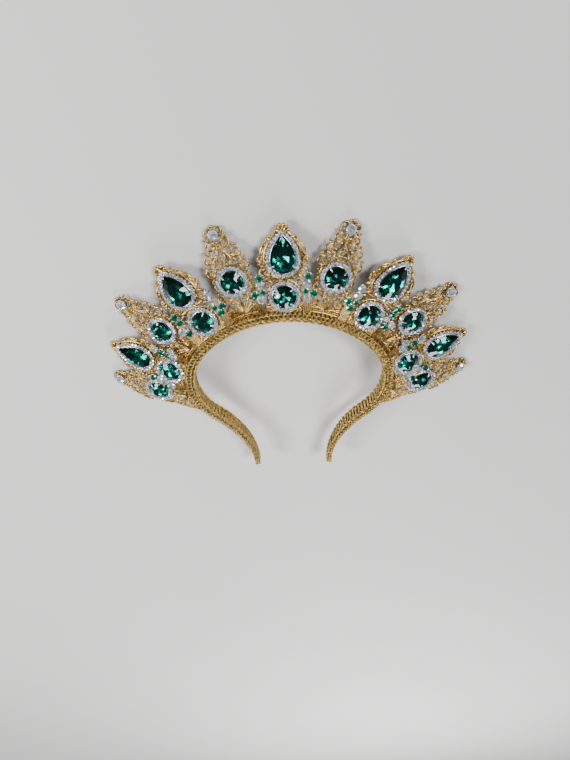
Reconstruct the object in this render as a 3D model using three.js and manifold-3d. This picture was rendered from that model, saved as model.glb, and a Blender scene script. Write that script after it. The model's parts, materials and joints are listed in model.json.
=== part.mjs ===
// Rhinestone tiara: a horseshoe headband that carries eleven jewelled plates.
// Millimetres. The tiara lies on the backs of its spike tips: +X is the viewer's right, +Y runs to the
// crown's top and +Z is the tiara's front. The origin is the bottom centre of its box.
import * as THREE from "three";
import { ConvexGeometry } from "three/addons/geometries/ConvexGeometry.js";
import { mergeVertices } from "three/addons/utils/BufferGeometryUtils.js";
import Module from "manifold-3d";

const wasm = await Module();
wasm.setup();

// Clearance between neighbours, and the step below which a joined face counts as flat
const GAP = 0.3;
const FLATNESS = 1e-3;

// Headband: its inner edge is three arcs on each side, from the top centre down to the end.
// A positive turn bends towards the head, a negative one away from it.
const BAND_ARCS = [
  { radius: 71, turn: 50, steps: 8 },
  { radius: 42, turn: 87, steps: 11 },
  { radius: 77.7, turn: -47, steps: 7 },
];
const BAND_THICKNESS = 4.5;
const BAND_DEPTH = 9;
const BAND_CHAMFER = 1.2;
const BAND_END_SCALE = 0.66;
const BAND_TAPER_HEIGHT = 55;

// Plates lean back from the band's plane by this angle, seated just in front of its middle.
const PLATE_TILT = 15.5;
const PLATE_SEAT = 1;
const PLATE_THICKNESS = 1.2;
const PLATE_FOOT = -7;
const PEAR_PLATE_FORWARD = 1.8;
const PEAR_PLATE_FRONT = PEAR_PLATE_FORWARD + PLATE_THICKNESS;

// Stations from the top centre to the right, repeated in mirror on the left.
// base: direction of the band's outward normal at the plate's foot; lean: direction the plate points in.
const STATIONS = [
  { kind: "pear", base: 90, lean: 90 },
  { kind: "spike", base: 72, lean: 72 },
  { kind: "pear", base: 54, lean: 53.5 },
  { kind: "spike", base: 37, lean: 34 },
  { kind: "pear", base: 10, lean: 21 },
  { kind: "spike", base: -17, lean: 8.5 },
];

// Round stone in its halo, and where it sits along each kind of plate
const ROUND = { radius: 6.9, table: 3.2, height: 4.2, girdle: 1.6, haloWidth: 2.4, haloStones: 16 };
const ROUND_ALONG = { spike: 25, pear: 11 };
const ROUND_GIRDLE_SIDES = 16;
const ROUND_TABLE_SIDES = 8;

// Pear stone in its halo: radius of the round end, and the point's distance from that end's centre
const PEAR = { radius: 7.3, point: 14.8, height: 4.6, girdle: 1.8, haloWidth: 2.6, haloStones: 20 };
const PEAR_TABLE_SHARE = 0.5;
const PEAR_ALONG = 32.8;
const PEAR_SIDES = 18;
const PAVILION = 0.6;

// Halo: the cup ring's height, the small stones' height above it, and their tables' share of their size
const HALO_CUP = 1.5;
const HALO_STONE = 0.9;
const HALO_TABLE = 0.62;

// Clear stone at a spike's tip
const TIP_STONE = { radius: 3.1, table: 1.8, height: 2.8, along: 54.6 };

// Spike plate: right half of the core outline, then loops with their holes, and plain gaps.
const SPIKE_CORE = [
  { across: 10.2, along: PLATE_FOOT },
  { across: 10.6, along: 10 },
  { across: 11.6, along: 17 },
  { across: 9.6, along: 34 },
  { across: 7, along: 41.5 },
  { across: 3.4, along: 49.5 },
  { across: 1.4, along: 58.4 },
];
const SPIKE_LOOPS = [
  { across: 10.6, along: 33.2, radius: 3.4, hole: 2.1 },
  { across: 8.3, along: 41, radius: 3.4, hole: 2.1 },
  { across: 4.6, along: 48.4, radius: 3.3, hole: 1.9 },
  { across: 3.3, along: 56, radius: 2.6, hole: 1.3 },
];
const SPIKE_CREST = { across: 0, along: 59, radius: 1.5 };
const SPIKE_GAPS = [
  { across: 0, along: 45.6, radius: 1.5 },
  { across: 3, along: 38.6, radius: 1.5 },
  { across: 0, along: 5.4, radius: 2.2 },
  { across: 6.8, along: 7.4, radius: 2.2 },
  { across: 3.4, along: 11.6, radius: 2.2 },
];

// Pear plate: back of the pear and of the round stone, the lobes round its edge, and plain gaps.
const PEAR_BACK = { radius: 11.4, point: 20 };
const ROUND_BACK_RADIUS = 10.8;
const PEAR_NECK = 8.6;
const PEAR_FOOT_HALF = 9.6;
const PEAR_LOBES = [
  { across: 0, along: 53, radius: 2.9, hole: 0 },
  { across: 3.4, along: 51.4, radius: 2.1, hole: 0 },
  { across: 7.8, along: 46.4, radius: 2.5, hole: 0 },
  { across: 13.4, along: 34, radius: 2.6, hole: 0 },
  { across: 11, along: 25.4, radius: 4, hole: 2.2 },
  { across: 9.4, along: 18.6, radius: 2.6, hole: 1.3 },
  { across: 10.4, along: 4.6, radius: 2.6, hole: 0 },
];
const PEAR_GAPS = [{ across: 0, along: 21.8, radius: 1.1 }];
const LOOP_SIDES = 8;
const HOLE_SIDES = 5;
const DIAMOND_SIDES = 4;
const ROUND_SIDES = 16;

// Spray at each seam: a strip of parallel wires stands on the band and carries chatons.
// Across counts towards the spike's side of the seam.
const WIRE = { count: 3, diameter: 1.25, height: 1.2, across: 1.2, top: 24 };
const CHATON = { table: 1.4, radius: 2.4, height: 2.6 };
const SPRAY = [
  { across: 0.6, along: 11.4 },
  { across: 3.5, along: 15 },
  { across: -0.8, along: 20.2 },
  { across: -1, along: 25 },
];
const CHATON_SIDES = 8;

// Colours and finishes
const GOLD = new THREE.MeshStandardMaterial({ color: 0xc8a35a, metalness: 1, roughness: 0.28 });
const BRAID = new THREE.MeshStandardMaterial({ color: 0xb98f45, metalness: 0.9, roughness: 0.42 });
const EMERALD = new THREE.MeshStandardMaterial({ color: 0x0a5c48, metalness: 0, roughness: 0.06 });
const CRYSTAL = new THREE.MeshStandardMaterial({ color: 0xcfd3e6, metalness: 0.1, roughness: 0.08 });

const radians = THREE.MathUtils.degToRad;

function direction(degrees) {
  return new THREE.Vector2(Math.cos(radians(degrees)), Math.sin(radians(degrees)));
}

// Solids and their joins and cuts
function solidOf(geometry) {
  const bare = geometry.clone();
  bare.deleteAttribute("normal");
  bare.deleteAttribute("uv");
  const merged = mergeVertices(bare, 1e-4);
  return new wasm.Manifold(
    new wasm.Mesh({
      numProp: 3,
      vertProperties: new Float32Array(merged.attributes.position.array),
      triVerts: new Uint32Array(merged.index.array),
    }),
  );
}

function geometryOf(solid) {
  const mesh = solid.asOriginal().simplify(FLATNESS).getMesh();
  const geometry = new THREE.BufferGeometry();
  geometry.setAttribute("position", new THREE.BufferAttribute(mesh.vertProperties, 3));
  geometry.setIndex(new THREE.BufferAttribute(mesh.triVerts, 1));
  geometry.computeVertexNormals();
  return geometry;
}

function joined(solids) {
  return solids.reduce((whole, solid) => whole.add(solid));
}

function namedMesh(name, geometry, material) {
  const mesh = new THREE.Mesh(geometry, material);
  mesh.name = name;
  return mesh;
}

// A flat shape as a plate's thickness, from the given level up
function slab(shape, from, thickness) {
  const geometry = new THREE.ExtrudeGeometry(shape, { depth: thickness, bevelEnabled: false });
  return solidOf(geometry.translate(0, 0, from));
}

// A regular polygon with a corner straight up
function polygon(across, along, radius, sides) {
  const corner = (_, i) => {
    const angle = Math.PI / 2 + (2 * Math.PI * i) / sides;
    return new THREE.Vector2(across + radius * Math.cos(angle), along + radius * Math.sin(angle));
  };
  return new THREE.Shape(Array.from({ length: sides }, corner));
}

// The right half of an outline, from the foot up, closed by its mirror
function mirrored(half) {
  const right = half.map((row) => new THREE.Vector2(row.across, row.along));
  const left = right.map((point) => new THREE.Vector2(-point.x, point.y)).reverse();
  return new THREE.Shape([...right, ...left]);
}

// A row on the plate's middle line stands once, and any other on both sides
function bothSides(rows) {
  return rows.flatMap((row) => (row.across === 0 ? [row] : [row, { ...row, across: -row.across }]));
}

// Pear outline round its round end's centre, point up
function pearShape(radius, point) {
  const shape = new THREE.Shape();
  shape.absarc(0, 0, radius, Math.PI, 2 * Math.PI, false);
  shape.quadraticCurveTo(radius * 0.98, point * 0.6, 0, point);
  shape.quadraticCurveTo(-radius * 0.98, point * 0.6, -radius, 0);
  return shape;
}

function circleShape(radius) {
  return new THREE.Shape().absarc(0, 0, radius, Math.PI / 2, Math.PI * 2.5, false);
}

// Headband

// Stops along the right half of the inner edge: place, outward normal and heading turned so far
function innerEdgeStops() {
  const stops = [];
  const place = new THREE.Vector2(0, 0);
  let normalAngle = 90;
  for (const arc of BAND_ARCS) {
    const side = Math.sign(arc.turn);
    const centre = direction(normalAngle).multiplyScalar(-side * arc.radius).add(place);
    for (let i = stops.length ? 1 : 0; i <= arc.steps; i++) {
      const angle = normalAngle - (arc.turn * i) / arc.steps;
      const normal = direction(angle);
      stops.push({ angle, normal, place: normal.clone().multiplyScalar(side * arc.radius).add(centre) });
    }
    normalAngle -= arc.turn;
    place.copy(stops.at(-1).place);
  }
  return stops;
}

const STOPS = innerEdgeStops();
const BAND_END = STOPS.at(-1).place.y;

// Share of the band's full section at a height above its ends
function bandScale(height) {
  return THREE.MathUtils.lerp(BAND_END_SCALE, 1, THREE.MathUtils.smoothstep(height, 0, BAND_TAPER_HEIGHT));
}

// Right half of an edge that lies outwards of the inner one, top centre first
function edge(outwards) {
  return STOPS.map(({ place, normal }) => {
    const distance = outwards * bandScale(place.y - BAND_END);
    return normal.clone().multiplyScalar(distance).add(place);
  });
}

function mirrorOf(points) {
  return points.map((point) => new THREE.Vector2(-point.x, point.y));
}

function bandGeometry() {
  const outer = edge(BAND_THICKNESS);
  const inner = edge(0);
  const outline = [
    ...outer.slice().reverse(),
    ...mirrorOf(outer).slice(1),
    ...mirrorOf(inner).reverse(),
    ...inner.slice(1),
  ];
  const geometry = new THREE.ExtrudeGeometry(new THREE.Shape(outline), {
    depth: BAND_DEPTH - 2 * BAND_CHAMFER,
    bevelSize: BAND_CHAMFER,
    bevelOffset: -BAND_CHAMFER,
    bevelThickness: BAND_CHAMFER,
    bevelSegments: 1,
  }).translate(0, 0, BAND_CHAMFER - BAND_DEPTH / 2);
  const position = geometry.getAttribute("position");
  for (let i = 0; i < position.count; i++) {
    position.setZ(i, position.getZ(i) * bandScale(position.getY(i) - BAND_END));
  }
  return geometry;
}

// All that lies within the band's outer edge and the gap round it: cuts each plate's foot to the band
function footCutter() {
  const reach = BAND_THICKNESS + GAP;
  const right = STOPS.map(({ place, normal }) => normal.clone().multiplyScalar(reach).add(place));
  const outline = new THREE.Shape([...right.slice().reverse(), ...mirrorOf(right).slice(1)]);
  const depth = 4 * BAND_DEPTH;
  return new THREE.ExtrudeGeometry(outline, { depth, bevelEnabled: false }).translate(0, 0, -depth / 2);
}

const FOOT_CUTTER = footCutter();

// Point on the band's outer edge whose outward normal points in the given direction
function footPoint(base) {
  const next = STOPS.findIndex((stop) => stop.angle <= base + 1e-6);
  const after = STOPS[Math.max(next, 1)];
  const before = STOPS[Math.max(next, 1) - 1];
  const share = (before.angle - base) / (before.angle - after.angle);
  const place = before.place.clone().lerp(after.place, share);
  return direction(base).multiplyScalar(BAND_THICKNESS).add(place);
}

// Group whose X runs across a plate, Y along it and Z out of its front
function leaningGroup(foot, lean) {
  const group = new THREE.Group();
  group.position.set(foot.x, foot.y, PLATE_SEAT);
  group.rotation.set(radians(-PLATE_TILT), 0, radians(lean - 90), "ZYX");
  group.updateMatrix();
  return group;
}

// Plates

function cutToBand(solid, matrix) {
  const cutter = FOOT_CUTTER.clone().applyMatrix4(matrix.clone().invert());
  return geometryOf(solid.subtract(solidOf(cutter)));
}

function discs(rows, sides, from, thickness) {
  return rows.map((row) => slab(polygon(row.across, row.along, row.radius, sides), from, thickness));
}

function holes(rows, sides, from) {
  const cut = rows.map((row) => ({ ...row, radius: row.hole ?? row.radius }));
  return discs(cut, sides, from - PLATE_THICKNESS, 3 * PLATE_THICKNESS);
}

function spikePlate() {
  const loops = bothSides(SPIKE_LOOPS);
  const metal = joined([
    slab(mirrored(SPIKE_CORE), 0, PLATE_THICKNESS),
    ...discs([...loops, SPIKE_CREST], LOOP_SIDES, 0, PLATE_THICKNESS),
  ]);
  const gaps = joined([
    ...holes(loops, HOLE_SIDES, 0),
    ...holes(bothSides(SPIKE_GAPS), DIAMOND_SIDES, 0),
  ]);
  return metal.subtract(gaps);
}

// Fluted strip of wires side by side, along Y from the foot
function wireStrip(side) {
  const groove = WIRE.diameter / 2 - WIRE.height;
  const width = WIRE.count * WIRE.diameter;
  const profile = new THREE.Shape();
  profile.moveTo(-width / 2, 0);
  profile.lineTo(-width / 2, groove);
  for (let i = 0; i < WIRE.count; i++) {
    const left = i * WIRE.diameter - width / 2;
    profile.lineTo(left + WIRE.diameter * 0.3, -WIRE.height);
    profile.lineTo(left + WIRE.diameter * 0.7, -WIRE.height);
    profile.lineTo(left + WIRE.diameter, groove);
  }
  profile.lineTo(width / 2, 0);
  const depth = WIRE.top - PLATE_FOOT;
  const geometry = new THREE.ExtrudeGeometry(profile, { depth, bevelEnabled: false });
  return solidOf(geometry.rotateX(-Math.PI / 2).translate(WIRE.across * side, PLATE_FOOT, 0));
}

function pearPlate() {
  const from = PEAR_PLATE_FORWARD;
  const lobes = bothSides(PEAR_LOBES);
  const pearBack = new THREE.ExtrudeGeometry(pearShape(PEAR_BACK.radius, PEAR_BACK.point), {
    depth: PLATE_THICKNESS,
    bevelEnabled: false,
    curveSegments: PEAR_SIDES / 3,
  }).translate(0, PEAR_ALONG, from);
  const neck = mirrored([
    { across: PEAR_FOOT_HALF, along: PLATE_FOOT },
    { across: PEAR_FOOT_HALF, along: ROUND_ALONG.pear },
    { across: PEAR_NECK, along: PEAR_ALONG - PEAR_BACK.radius },
    { across: PEAR_NECK, along: PEAR_ALONG },
  ]);
  const metal = joined([
    solidOf(pearBack),
    slab(neck, from, PLATE_THICKNESS),
    slab(polygon(0, ROUND_ALONG.pear, ROUND_BACK_RADIUS, ROUND_SIDES), from, PLATE_THICKNESS),
    ...discs(lobes, LOOP_SIDES, from, PLATE_THICKNESS),
  ]);
  const pierced = [...lobes.filter((row) => row.hole > 0), ...PEAR_GAPS];
  return metal.subtract(joined(holes(pierced, HOLE_SIDES, from)));
}

// Stones

// Girdle and table rings of a stone, and its point behind
function cutStone(girdleRing, tableRing, { girdle, height }) {
  const level = (points, z) => points.map((point) => new THREE.Vector3(point.x, point.y, z));
  return new ConvexGeometry([
    new THREE.Vector3(0, 0, 0),
    ...level(girdleRing, PAVILION),
    ...level(girdleRing, girdle),
    ...level(tableRing, height),
  ]);
}

function ring(radius, sides, turned) {
  const corner = (_, i) => direction((360 * (i + turned)) / sides).multiplyScalar(radius);
  return Array.from({ length: sides }, corner);
}

function roundStone() {
  const girdleRing = ring(ROUND.radius, ROUND_GIRDLE_SIDES, 0);
  const tableRing = ring(ROUND.table, ROUND_TABLE_SIDES, 0.5);
  return cutStone(girdleRing, tableRing, ROUND);
}

function pearStone() {
  const girdleRing = pearShape(PEAR.radius, PEAR.point).getSpacedPoints(PEAR_SIDES).slice(1);
  const table = pearShape(PEAR.radius * PEAR_TABLE_SHARE, PEAR.point * PEAR_TABLE_SHARE);
  const tableRing = table.getSpacedPoints(PEAR_SIDES / 2).slice(1);
  return cutStone(girdleRing, tableRing, PEAR);
}

function tipStone() {
  const { table, radius, height } = TIP_STONE;
  return new THREE.CylinderGeometry(table, radius, height, CHATON_SIDES)
    .rotateX(Math.PI / 2)
    .translate(0, 0, height / 2);
}

// Ring of small stones between two outlines: each has a square girdle, and a square table turned
// by an eighth of a turn, so that eight facets join them.
function haloGeometry(innerShape, outerShape, stones) {
  const inner = innerShape.getSpacedPoints(stones).slice(1);
  const outer = outerShape.getSpacedPoints(stones).slice(1);
  const positions = [];
  const triangles = [];
  const top = HALO_CUP + HALO_STONE;
  const vertex = (point, z) => positions.push(point.x, point.y, z) / 3 - 1;
  const quad = (a, b, c, d) => triangles.push(a, b, c, a, c, d);
  for (let i = 0; i < stones; i++) {
    const j = (i + 1) % stones;
    const corners = [inner[i], outer[i], outer[j], inner[j]];
    const low = corners.map((point) => vertex(point, 0));
    const girdle = corners.map((point) => vertex(point, HALO_CUP));
    const centre = corners.reduce((sum, point) => sum.add(point), new THREE.Vector2()).divideScalar(4);
    const table = corners.map((point, k) => {
      const middle = point.clone().add(corners[(k + 1) % 4]).divideScalar(2);
      return vertex(middle.sub(centre).multiplyScalar(HALO_TABLE).add(centre), top);
    });
    quad(low[3], low[2], low[1], low[0]);
    quad(low[1], low[2], girdle[2], girdle[1]);
    quad(low[3], low[0], girdle[0], girdle[3]);
    quad(table[0], table[1], table[2], table[3]);
    for (let k = 0; k < 4; k++) {
      const next = (k + 1) % 4;
      triangles.push(girdle[k], girdle[next], table[k]);
      triangles.push(table[k], girdle[next], table[next]);
    }
  }
  const geometry = new THREE.BufferGeometry();
  geometry.setAttribute("position", new THREE.Float32BufferAttribute(positions, 3));
  geometry.setIndex(triangles);
  return geometry;
}

function roundHalo() {
  const inner = ROUND.radius + GAP;
  return haloGeometry(circleShape(inner), circleShape(inner + ROUND.haloWidth), ROUND.haloStones);
}

function pearHalo() {
  const inner = PEAR.radius + GAP;
  const point = PEAR.point + GAP;
  const outer = pearShape(inner + PEAR.haloWidth, point + PEAR.haloWidth);
  return haloGeometry(pearShape(inner, point), outer, PEAR.haloStones);
}

// Wires and chatons fused; side is +1 where the spike is on the right
function chatonSpray(side) {
  const stones = SPRAY.map((row) => {
    const stone = new THREE.CylinderGeometry(CHATON.table, CHATON.radius, CHATON.height, CHATON_SIDES);
    stone.rotateX(Math.PI / 2);
    return solidOf(stone.translate(row.across * side, row.along, CHATON.height / 2));
  });
  return joined([wireStrip(side), ...stones]);
}

// Assembly

const tiara = new THREE.Group();
tiara.add(namedMesh("band", bandGeometry(), BRAID));

const counts = {};

function numbered(name) {
  counts[name] = (counts[name] ?? 0) + 1;
  return name + "_" + counts[name];
}

function addRound(group, along, level) {
  const halo = namedMesh(numbered("round_halo"), roundHalo(), CRYSTAL);
  const stone = namedMesh(numbered("round_stone"), roundStone(), EMERALD);
  halo.position.set(0, along, level);
  stone.position.set(0, along, level);
  group.add(halo, stone);
}

function addSpike(group) {
  const level = PLATE_THICKNESS + GAP;
  group.add(namedMesh(numbered("spike_plate"), cutToBand(spikePlate(), group.matrix), GOLD));
  addRound(group, ROUND_ALONG.spike, level);
  const tip = namedMesh(numbered("tip_stone"), tipStone(), CRYSTAL);
  tip.position.set(0, TIP_STONE.along, level);
  group.add(tip);
}

function addPear(group) {
  const level = PEAR_PLATE_FRONT + GAP;
  group.add(namedMesh(numbered("pear_plate"), cutToBand(pearPlate(), group.matrix), GOLD));
  addRound(group, ROUND_ALONG.pear, level);
  const halo = namedMesh(numbered("pear_halo"), pearHalo(), CRYSTAL);
  const stone = namedMesh(numbered("pear_stone"), pearStone(), EMERALD);
  halo.position.set(0, PEAR_ALONG, level);
  stone.position.set(0, PEAR_ALONG, level);
  group.add(halo, stone);
}

// All stations from left to right
const LEFT = STATIONS.slice(1).reverse().map((row) => ({ ...row, side: -1 }));
const RIGHT = STATIONS.map((row) => ({ ...row, side: 1 }));
const PLACED = [...LEFT, ...RIGHT].map((row) => {
  const foot = footPoint(row.base);
  return {
    kind: row.kind,
    foot: new THREE.Vector2(foot.x * row.side, foot.y),
    lean: row.side > 0 ? row.lean : 180 - row.lean,
  };
});

for (const station of PLACED) {
  station.group = leaningGroup(station.foot, station.lean);
  if (station.kind === "spike") addSpike(station.group);
  else addPear(station.group);
  tiara.add(station.group);
}

// A spray lies on the pear plate's front, over the seam to the spike beside it
for (let i = 0; i + 1 < PLACED.length; i++) {
  const pair = [PLACED[i], PLACED[i + 1]];
  const pear = pair.find((station) => station.kind === "pear");
  const spike = pair.find((station) => station.kind === "spike");
  const foot = pear.foot.clone().lerp(spike.foot, 0.5);
  const inPlate = pear.group.matrix.clone().invert();
  const place = new THREE.Vector3(foot.x, foot.y, PLATE_SEAT).applyMatrix4(inPlate);
  const seam = new THREE.Group();
  seam.position.set(place.x, place.y, PEAR_PLATE_FRONT + GAP);
  seam.rotation.z = radians((spike.lean - pear.lean) / 2);
  seam.updateMatrix();
  const matrix = pear.group.matrix.clone().multiply(seam.matrix);
  const spray = chatonSpray(spike === pair[1] ? 1 : -1);
  seam.add(namedMesh(numbered("chaton_spray"), cutToBand(spray, matrix), CRYSTAL));
  pear.group.add(seam);
}

// Rest the tiara on the floor, with the origin at the bottom centre of its box
tiara.updateMatrixWorld(true);
const box = new THREE.Box3().setFromObject(tiara, true);
const middle = box.getCenter(new THREE.Vector3());
tiara.position.set(-middle.x, -middle.y, -box.min.z);

const part = new THREE.Group();
part.add(tiara);

export default part;
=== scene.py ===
"""Rhinestone tiara: braid, filigree, halos and cut stones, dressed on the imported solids.

Metres, +Z up, in the part's own frame. Tables are in millimetres, across, along and above a plate's front.
"""

import json
import math

import bmesh
import bpy
import numpy as np
from bpy.props import FloatProperty, FloatVectorProperty, IntProperty, PointerProperty
from mathutils import Matrix, Vector


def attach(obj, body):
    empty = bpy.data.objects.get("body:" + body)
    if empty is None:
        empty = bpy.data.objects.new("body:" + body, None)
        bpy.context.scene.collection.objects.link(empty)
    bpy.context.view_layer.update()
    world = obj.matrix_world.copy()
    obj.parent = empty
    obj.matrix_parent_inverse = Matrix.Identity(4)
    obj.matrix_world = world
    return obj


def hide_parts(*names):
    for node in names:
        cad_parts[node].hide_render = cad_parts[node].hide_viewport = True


bl_info = {
    "name": "Rhinestone Tiara",
    "version": (1, 0, 0),
    "blender": (4, 5, 0),
    "location": "3D View > Sidebar > Tiara",
    "description": "Dresses the solids of a horseshoe tiara in braid, filigree and cut stones",
    "category": "Object",
}

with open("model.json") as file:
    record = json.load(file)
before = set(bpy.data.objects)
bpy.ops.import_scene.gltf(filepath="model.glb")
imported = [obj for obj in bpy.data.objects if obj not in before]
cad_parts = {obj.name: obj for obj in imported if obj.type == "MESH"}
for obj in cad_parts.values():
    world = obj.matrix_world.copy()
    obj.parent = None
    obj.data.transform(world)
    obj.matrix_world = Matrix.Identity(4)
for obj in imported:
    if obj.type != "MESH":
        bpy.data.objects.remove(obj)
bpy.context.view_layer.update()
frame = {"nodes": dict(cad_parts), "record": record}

MM = 0.001
BODY = "root"
UP = Vector((0, 0, 1))

# Clearance between a plate's front and what is set on it
GAP = 0.3

# Headband: the arcs of its inner edge from the top centre to one end, and its section
BAND_ARCS = (
    {"radius": 71, "turn": 50},
    {"radius": 42, "turn": 87},
    {"radius": 77.7, "turn": -47},
)
BAND = {"thickness": 4.5, "depth": 9, "corner": 1.4, "end_scale": 0.66, "taper_height": 55}
BAND_STEP = 2.5
BAND_TOP = Vector(next(m["pos_m"] for m in frame["record"]["mounts"] if m["name"] == "head_seat"))

# Lines along the band: outwards of its inner edge, forwards of its middle, and the way each row faces
BAND_CORDS = (
    {"outwards": 0.05, "forwards": 4.35, "size": 1.0},
    {"outwards": 0.05, "forwards": -4.35, "size": 1.0},
)
BAND_CURLS = (
    {"outwards": 3.3, "forwards": 4.4, "out": 0, "front": 1, "size": 1.0},
    {"outwards": 3.3, "forwards": -4.4, "out": 0, "front": -1, "size": 1.0},
)
BAND_STITCHES = (
    {"outwards": -0.2, "forwards": 2.1, "out": -1, "front": 0, "size": 0.95},
    {"outwards": -0.2, "forwards": 0.0, "out": -1, "front": 0, "size": 0.95},
    {"outwards": -0.2, "forwards": -2.1, "out": -1, "front": 0, "size": 0.95},
    {"outwards": 4.65, "forwards": 2.9, "out": 1, "front": 0, "size": 0.95},
    {"outwards": 4.65, "forwards": 1.0, "out": 1, "front": 0, "size": 0.95},
    {"outwards": 4.65, "forwards": -1.0, "out": 1, "front": 0, "size": 0.95},
    {"outwards": 4.65, "forwards": -2.9, "out": 1, "front": 0, "size": 0.95},
)
BAND_BINDING = {"turns": 5, "pitch": 0.32, "radius": 0.42, "inset": -0.05}
BAND_FACE_INSETS = (0.45, 1.45, 2.1)
BAND_CORE_INSET = 0.25

# Where the round stone sits along each kind of plate, and the levels of a plate's sheets and wires
ROUND_ALONG = {"spike": 25, "pear": 11}
PLATE_BACK = -1.2
PLATE_MIDDLE = -0.6
PLATE_EASE = 0.25

# Foot of a plate on the band: half its width, rise of its sheet, and rise of its rails and beads
FOOT = {"spike": {"half": 10.2, "rise": 6.4}, "pear": {"half": 9.6, "rise": 5.6}}
FOOT_RAIL, FOOT_BEADS, FOOT_TOP = 0.7, 2.1, 3.5
FOOT_SEARCH = 14

# Heights above a plate's front between which the hollows' painted shade and tarnish give way to bright metal
RELIEF = {"plate": (-0.6, 0.3), "halo": (0.2, 2.2), "stone": (0, 4.6), "tip": (0.2, 2), "spray": (0.3, 1.6)}

# Stones: radius of the girdle, levels, and the table's share of the girdle
ROUND = {"radius": 6.85, "culet": 0.1, "low": 1.9, "high": 2.3, "table": 4.2, "share": 0.5}
PEAR = {"radius": 7.25, "point": 14.7, "culet": 0.1, "low": 2.0, "high": 2.4, "table": 4.6, "share": 0.52}
PEAR_ALONG = 32.8
TIP = {"radius": 2.9, "culet": 0.6, "low": 1.5, "high": 1.7, "table": 2.8, "share": 0.56, "along": 54.6}
CHATON = {"radius": 2.4, "culet": 0.5, "low": 1.3, "high": 1.5, "table": 2.55, "share": 0.56}
HALO = {"round": 8.65, "pear": 9.15, "pear_point": 16.9}
HALO_STONE = {"floor": 0.05, "cup": 1.35, "crown": 0.68, "share": 0.36}
COLLET = {"out": 0.38, "level": 1.6, "radius": 0.42}
CLAW = {"foot": 0.9, "knee": 0.5, "post": 1.1, "reach": 1.2, "rise": 0.9, "radius": 0.48, "end": 1.15}
CHATON_CUP = 1.05
CHATON_CLAW = {"foot": 1.06, "knee": 1.05, "end": 0.72, "drop": 0.25, "radius": 0.3}

# Cut of a stone, as shares: its shoulder between table and girdle, and the break in its back
CUT = {"shoulder": 0.35, "shoulder_level": 0.62, "belly": 0.42, "belly_level": 0.36}
ROUND_CLAWS = (45, 135, 225, 315)
PEAR_CLAWS = (90, 205, 335)

# Spike, right half: scrolls on its edge with a rosette in each, beads in threes, and the middle's wires
SPIKE_BACK, SPIKE_SEAT = 10.1, 2.9
SCROLL_RADIUS = 2.75
ROSETTE = {"petals": 7, "spread": 1.85, "heart": 1.15}
TRIO = {"turns": (20, 140, 260), "radius": 0.85}
SPIKE_SCROLLS = (
    {"across": 10.6, "along": 33.2, "radius": 2.75, "heart": 215},
    {"across": 8.3, "along": 41.0, "radius": 2.75, "heart": 225},
    {"across": 4.6, "along": 48.4, "radius": 2.65, "heart": 240},
)
SPIKE_TIP_RING = {"across": 3.3, "along": 56.0, "radius": 2.0}
SPIKE_TRIOS = (
    {"across": 12.4, "along": 37.3},
    {"across": 9.4, "along": 45.5},
    {"across": 6.2, "along": 52.6},
)
SPIKE_WIRES = (
    ((0.75, 51.0), (0.9, 47.4), (2.2, 44.4), (4.5, 41.0), (6.1, 37.8), (6.9, 34.0)),
    ((0.7, 46.8), (1.9, 43.6), (3.5, 40.8), (4.3, 37.8), (3.6, 35.2)),
    ((0.2, 42.8), (1.6, 40.3), (0.2, 37.8)),
    ((5.7, 41.2), (4.4, 41.2)),
    ((2.1, 48.6), (0.9, 48.8)),
    ((8.0, 33.6), (6.9, 34.4)),
    ((9.9, 36.0), (9.4, 38.2)),
    ((7.1, 43.6), (6.4, 46.2)),
    ((4.3, 51.2), (3.9, 53.8)),
)
SPIKE_TEARS = ((1.75, 36.4), (5.2, 35.6))
SPIKE_KNOTS = ((3.4, 43.1), (5.4, 39.4), (2.5, 45.6), (7.1, 36.4))
SPIKE_SPINE = ((0, 36.0), (0, 51.6))
SPIKE_CROWN = (
    {"across": 0, "along": 59.5, "size": 1.3},
    {"across": 1.4, "along": 58.9, "size": 1.1},
    {"across": 2.6, "along": 58.5, "size": 0.8},
)
SPIKE_EDGE = ((10.4, 9.0), (10.2, 14.5), (10.0, 22.0), (10.0, 30.4))
SPIKE_EDGE_RINGS = ((10.3, 17.0), (10.5, 20.4), (10.5, 23.8), (10.4, 27.4))
SPIKE_FOOT_SCROLLS = (
    {"across": 7.7, "along": 13.4, "radius": 2.3, "heart": 90},
    {"across": 7.9, "along": 8.0, "radius": 2.1, "heart": 200},
    {"across": 3.3, "along": 12.9, "radius": 1.7, "heart": 270},
)
SPIKE_RAYS = (
    {"turn": 90, "length": 12.8},
    {"turn": 76, "length": 9.6},
    {"turn": 62, "length": 11.6},
    {"turn": 46, "length": 9.4},
    {"turn": 30, "length": 9.2},
    {"turn": 14, "length": 9.0},
)
SPIKE_RAY_STEPS = (
    {"share": 0.05, "bend": 1, "thick": 1.3},
    {"share": 0.35, "bend": 1, "thick": 1.2},
    {"share": 0.7, "bend": 1.04, "thick": 1.05},
    {"share": 1, "bend": 1.12, "thick": 0.8},
)
SPIKE_CORNERS = (8.0, 4.6)
SPIKE_CORNER_LEAST = 0.95
SPIKE_SMALL_RING = 1.3

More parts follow.
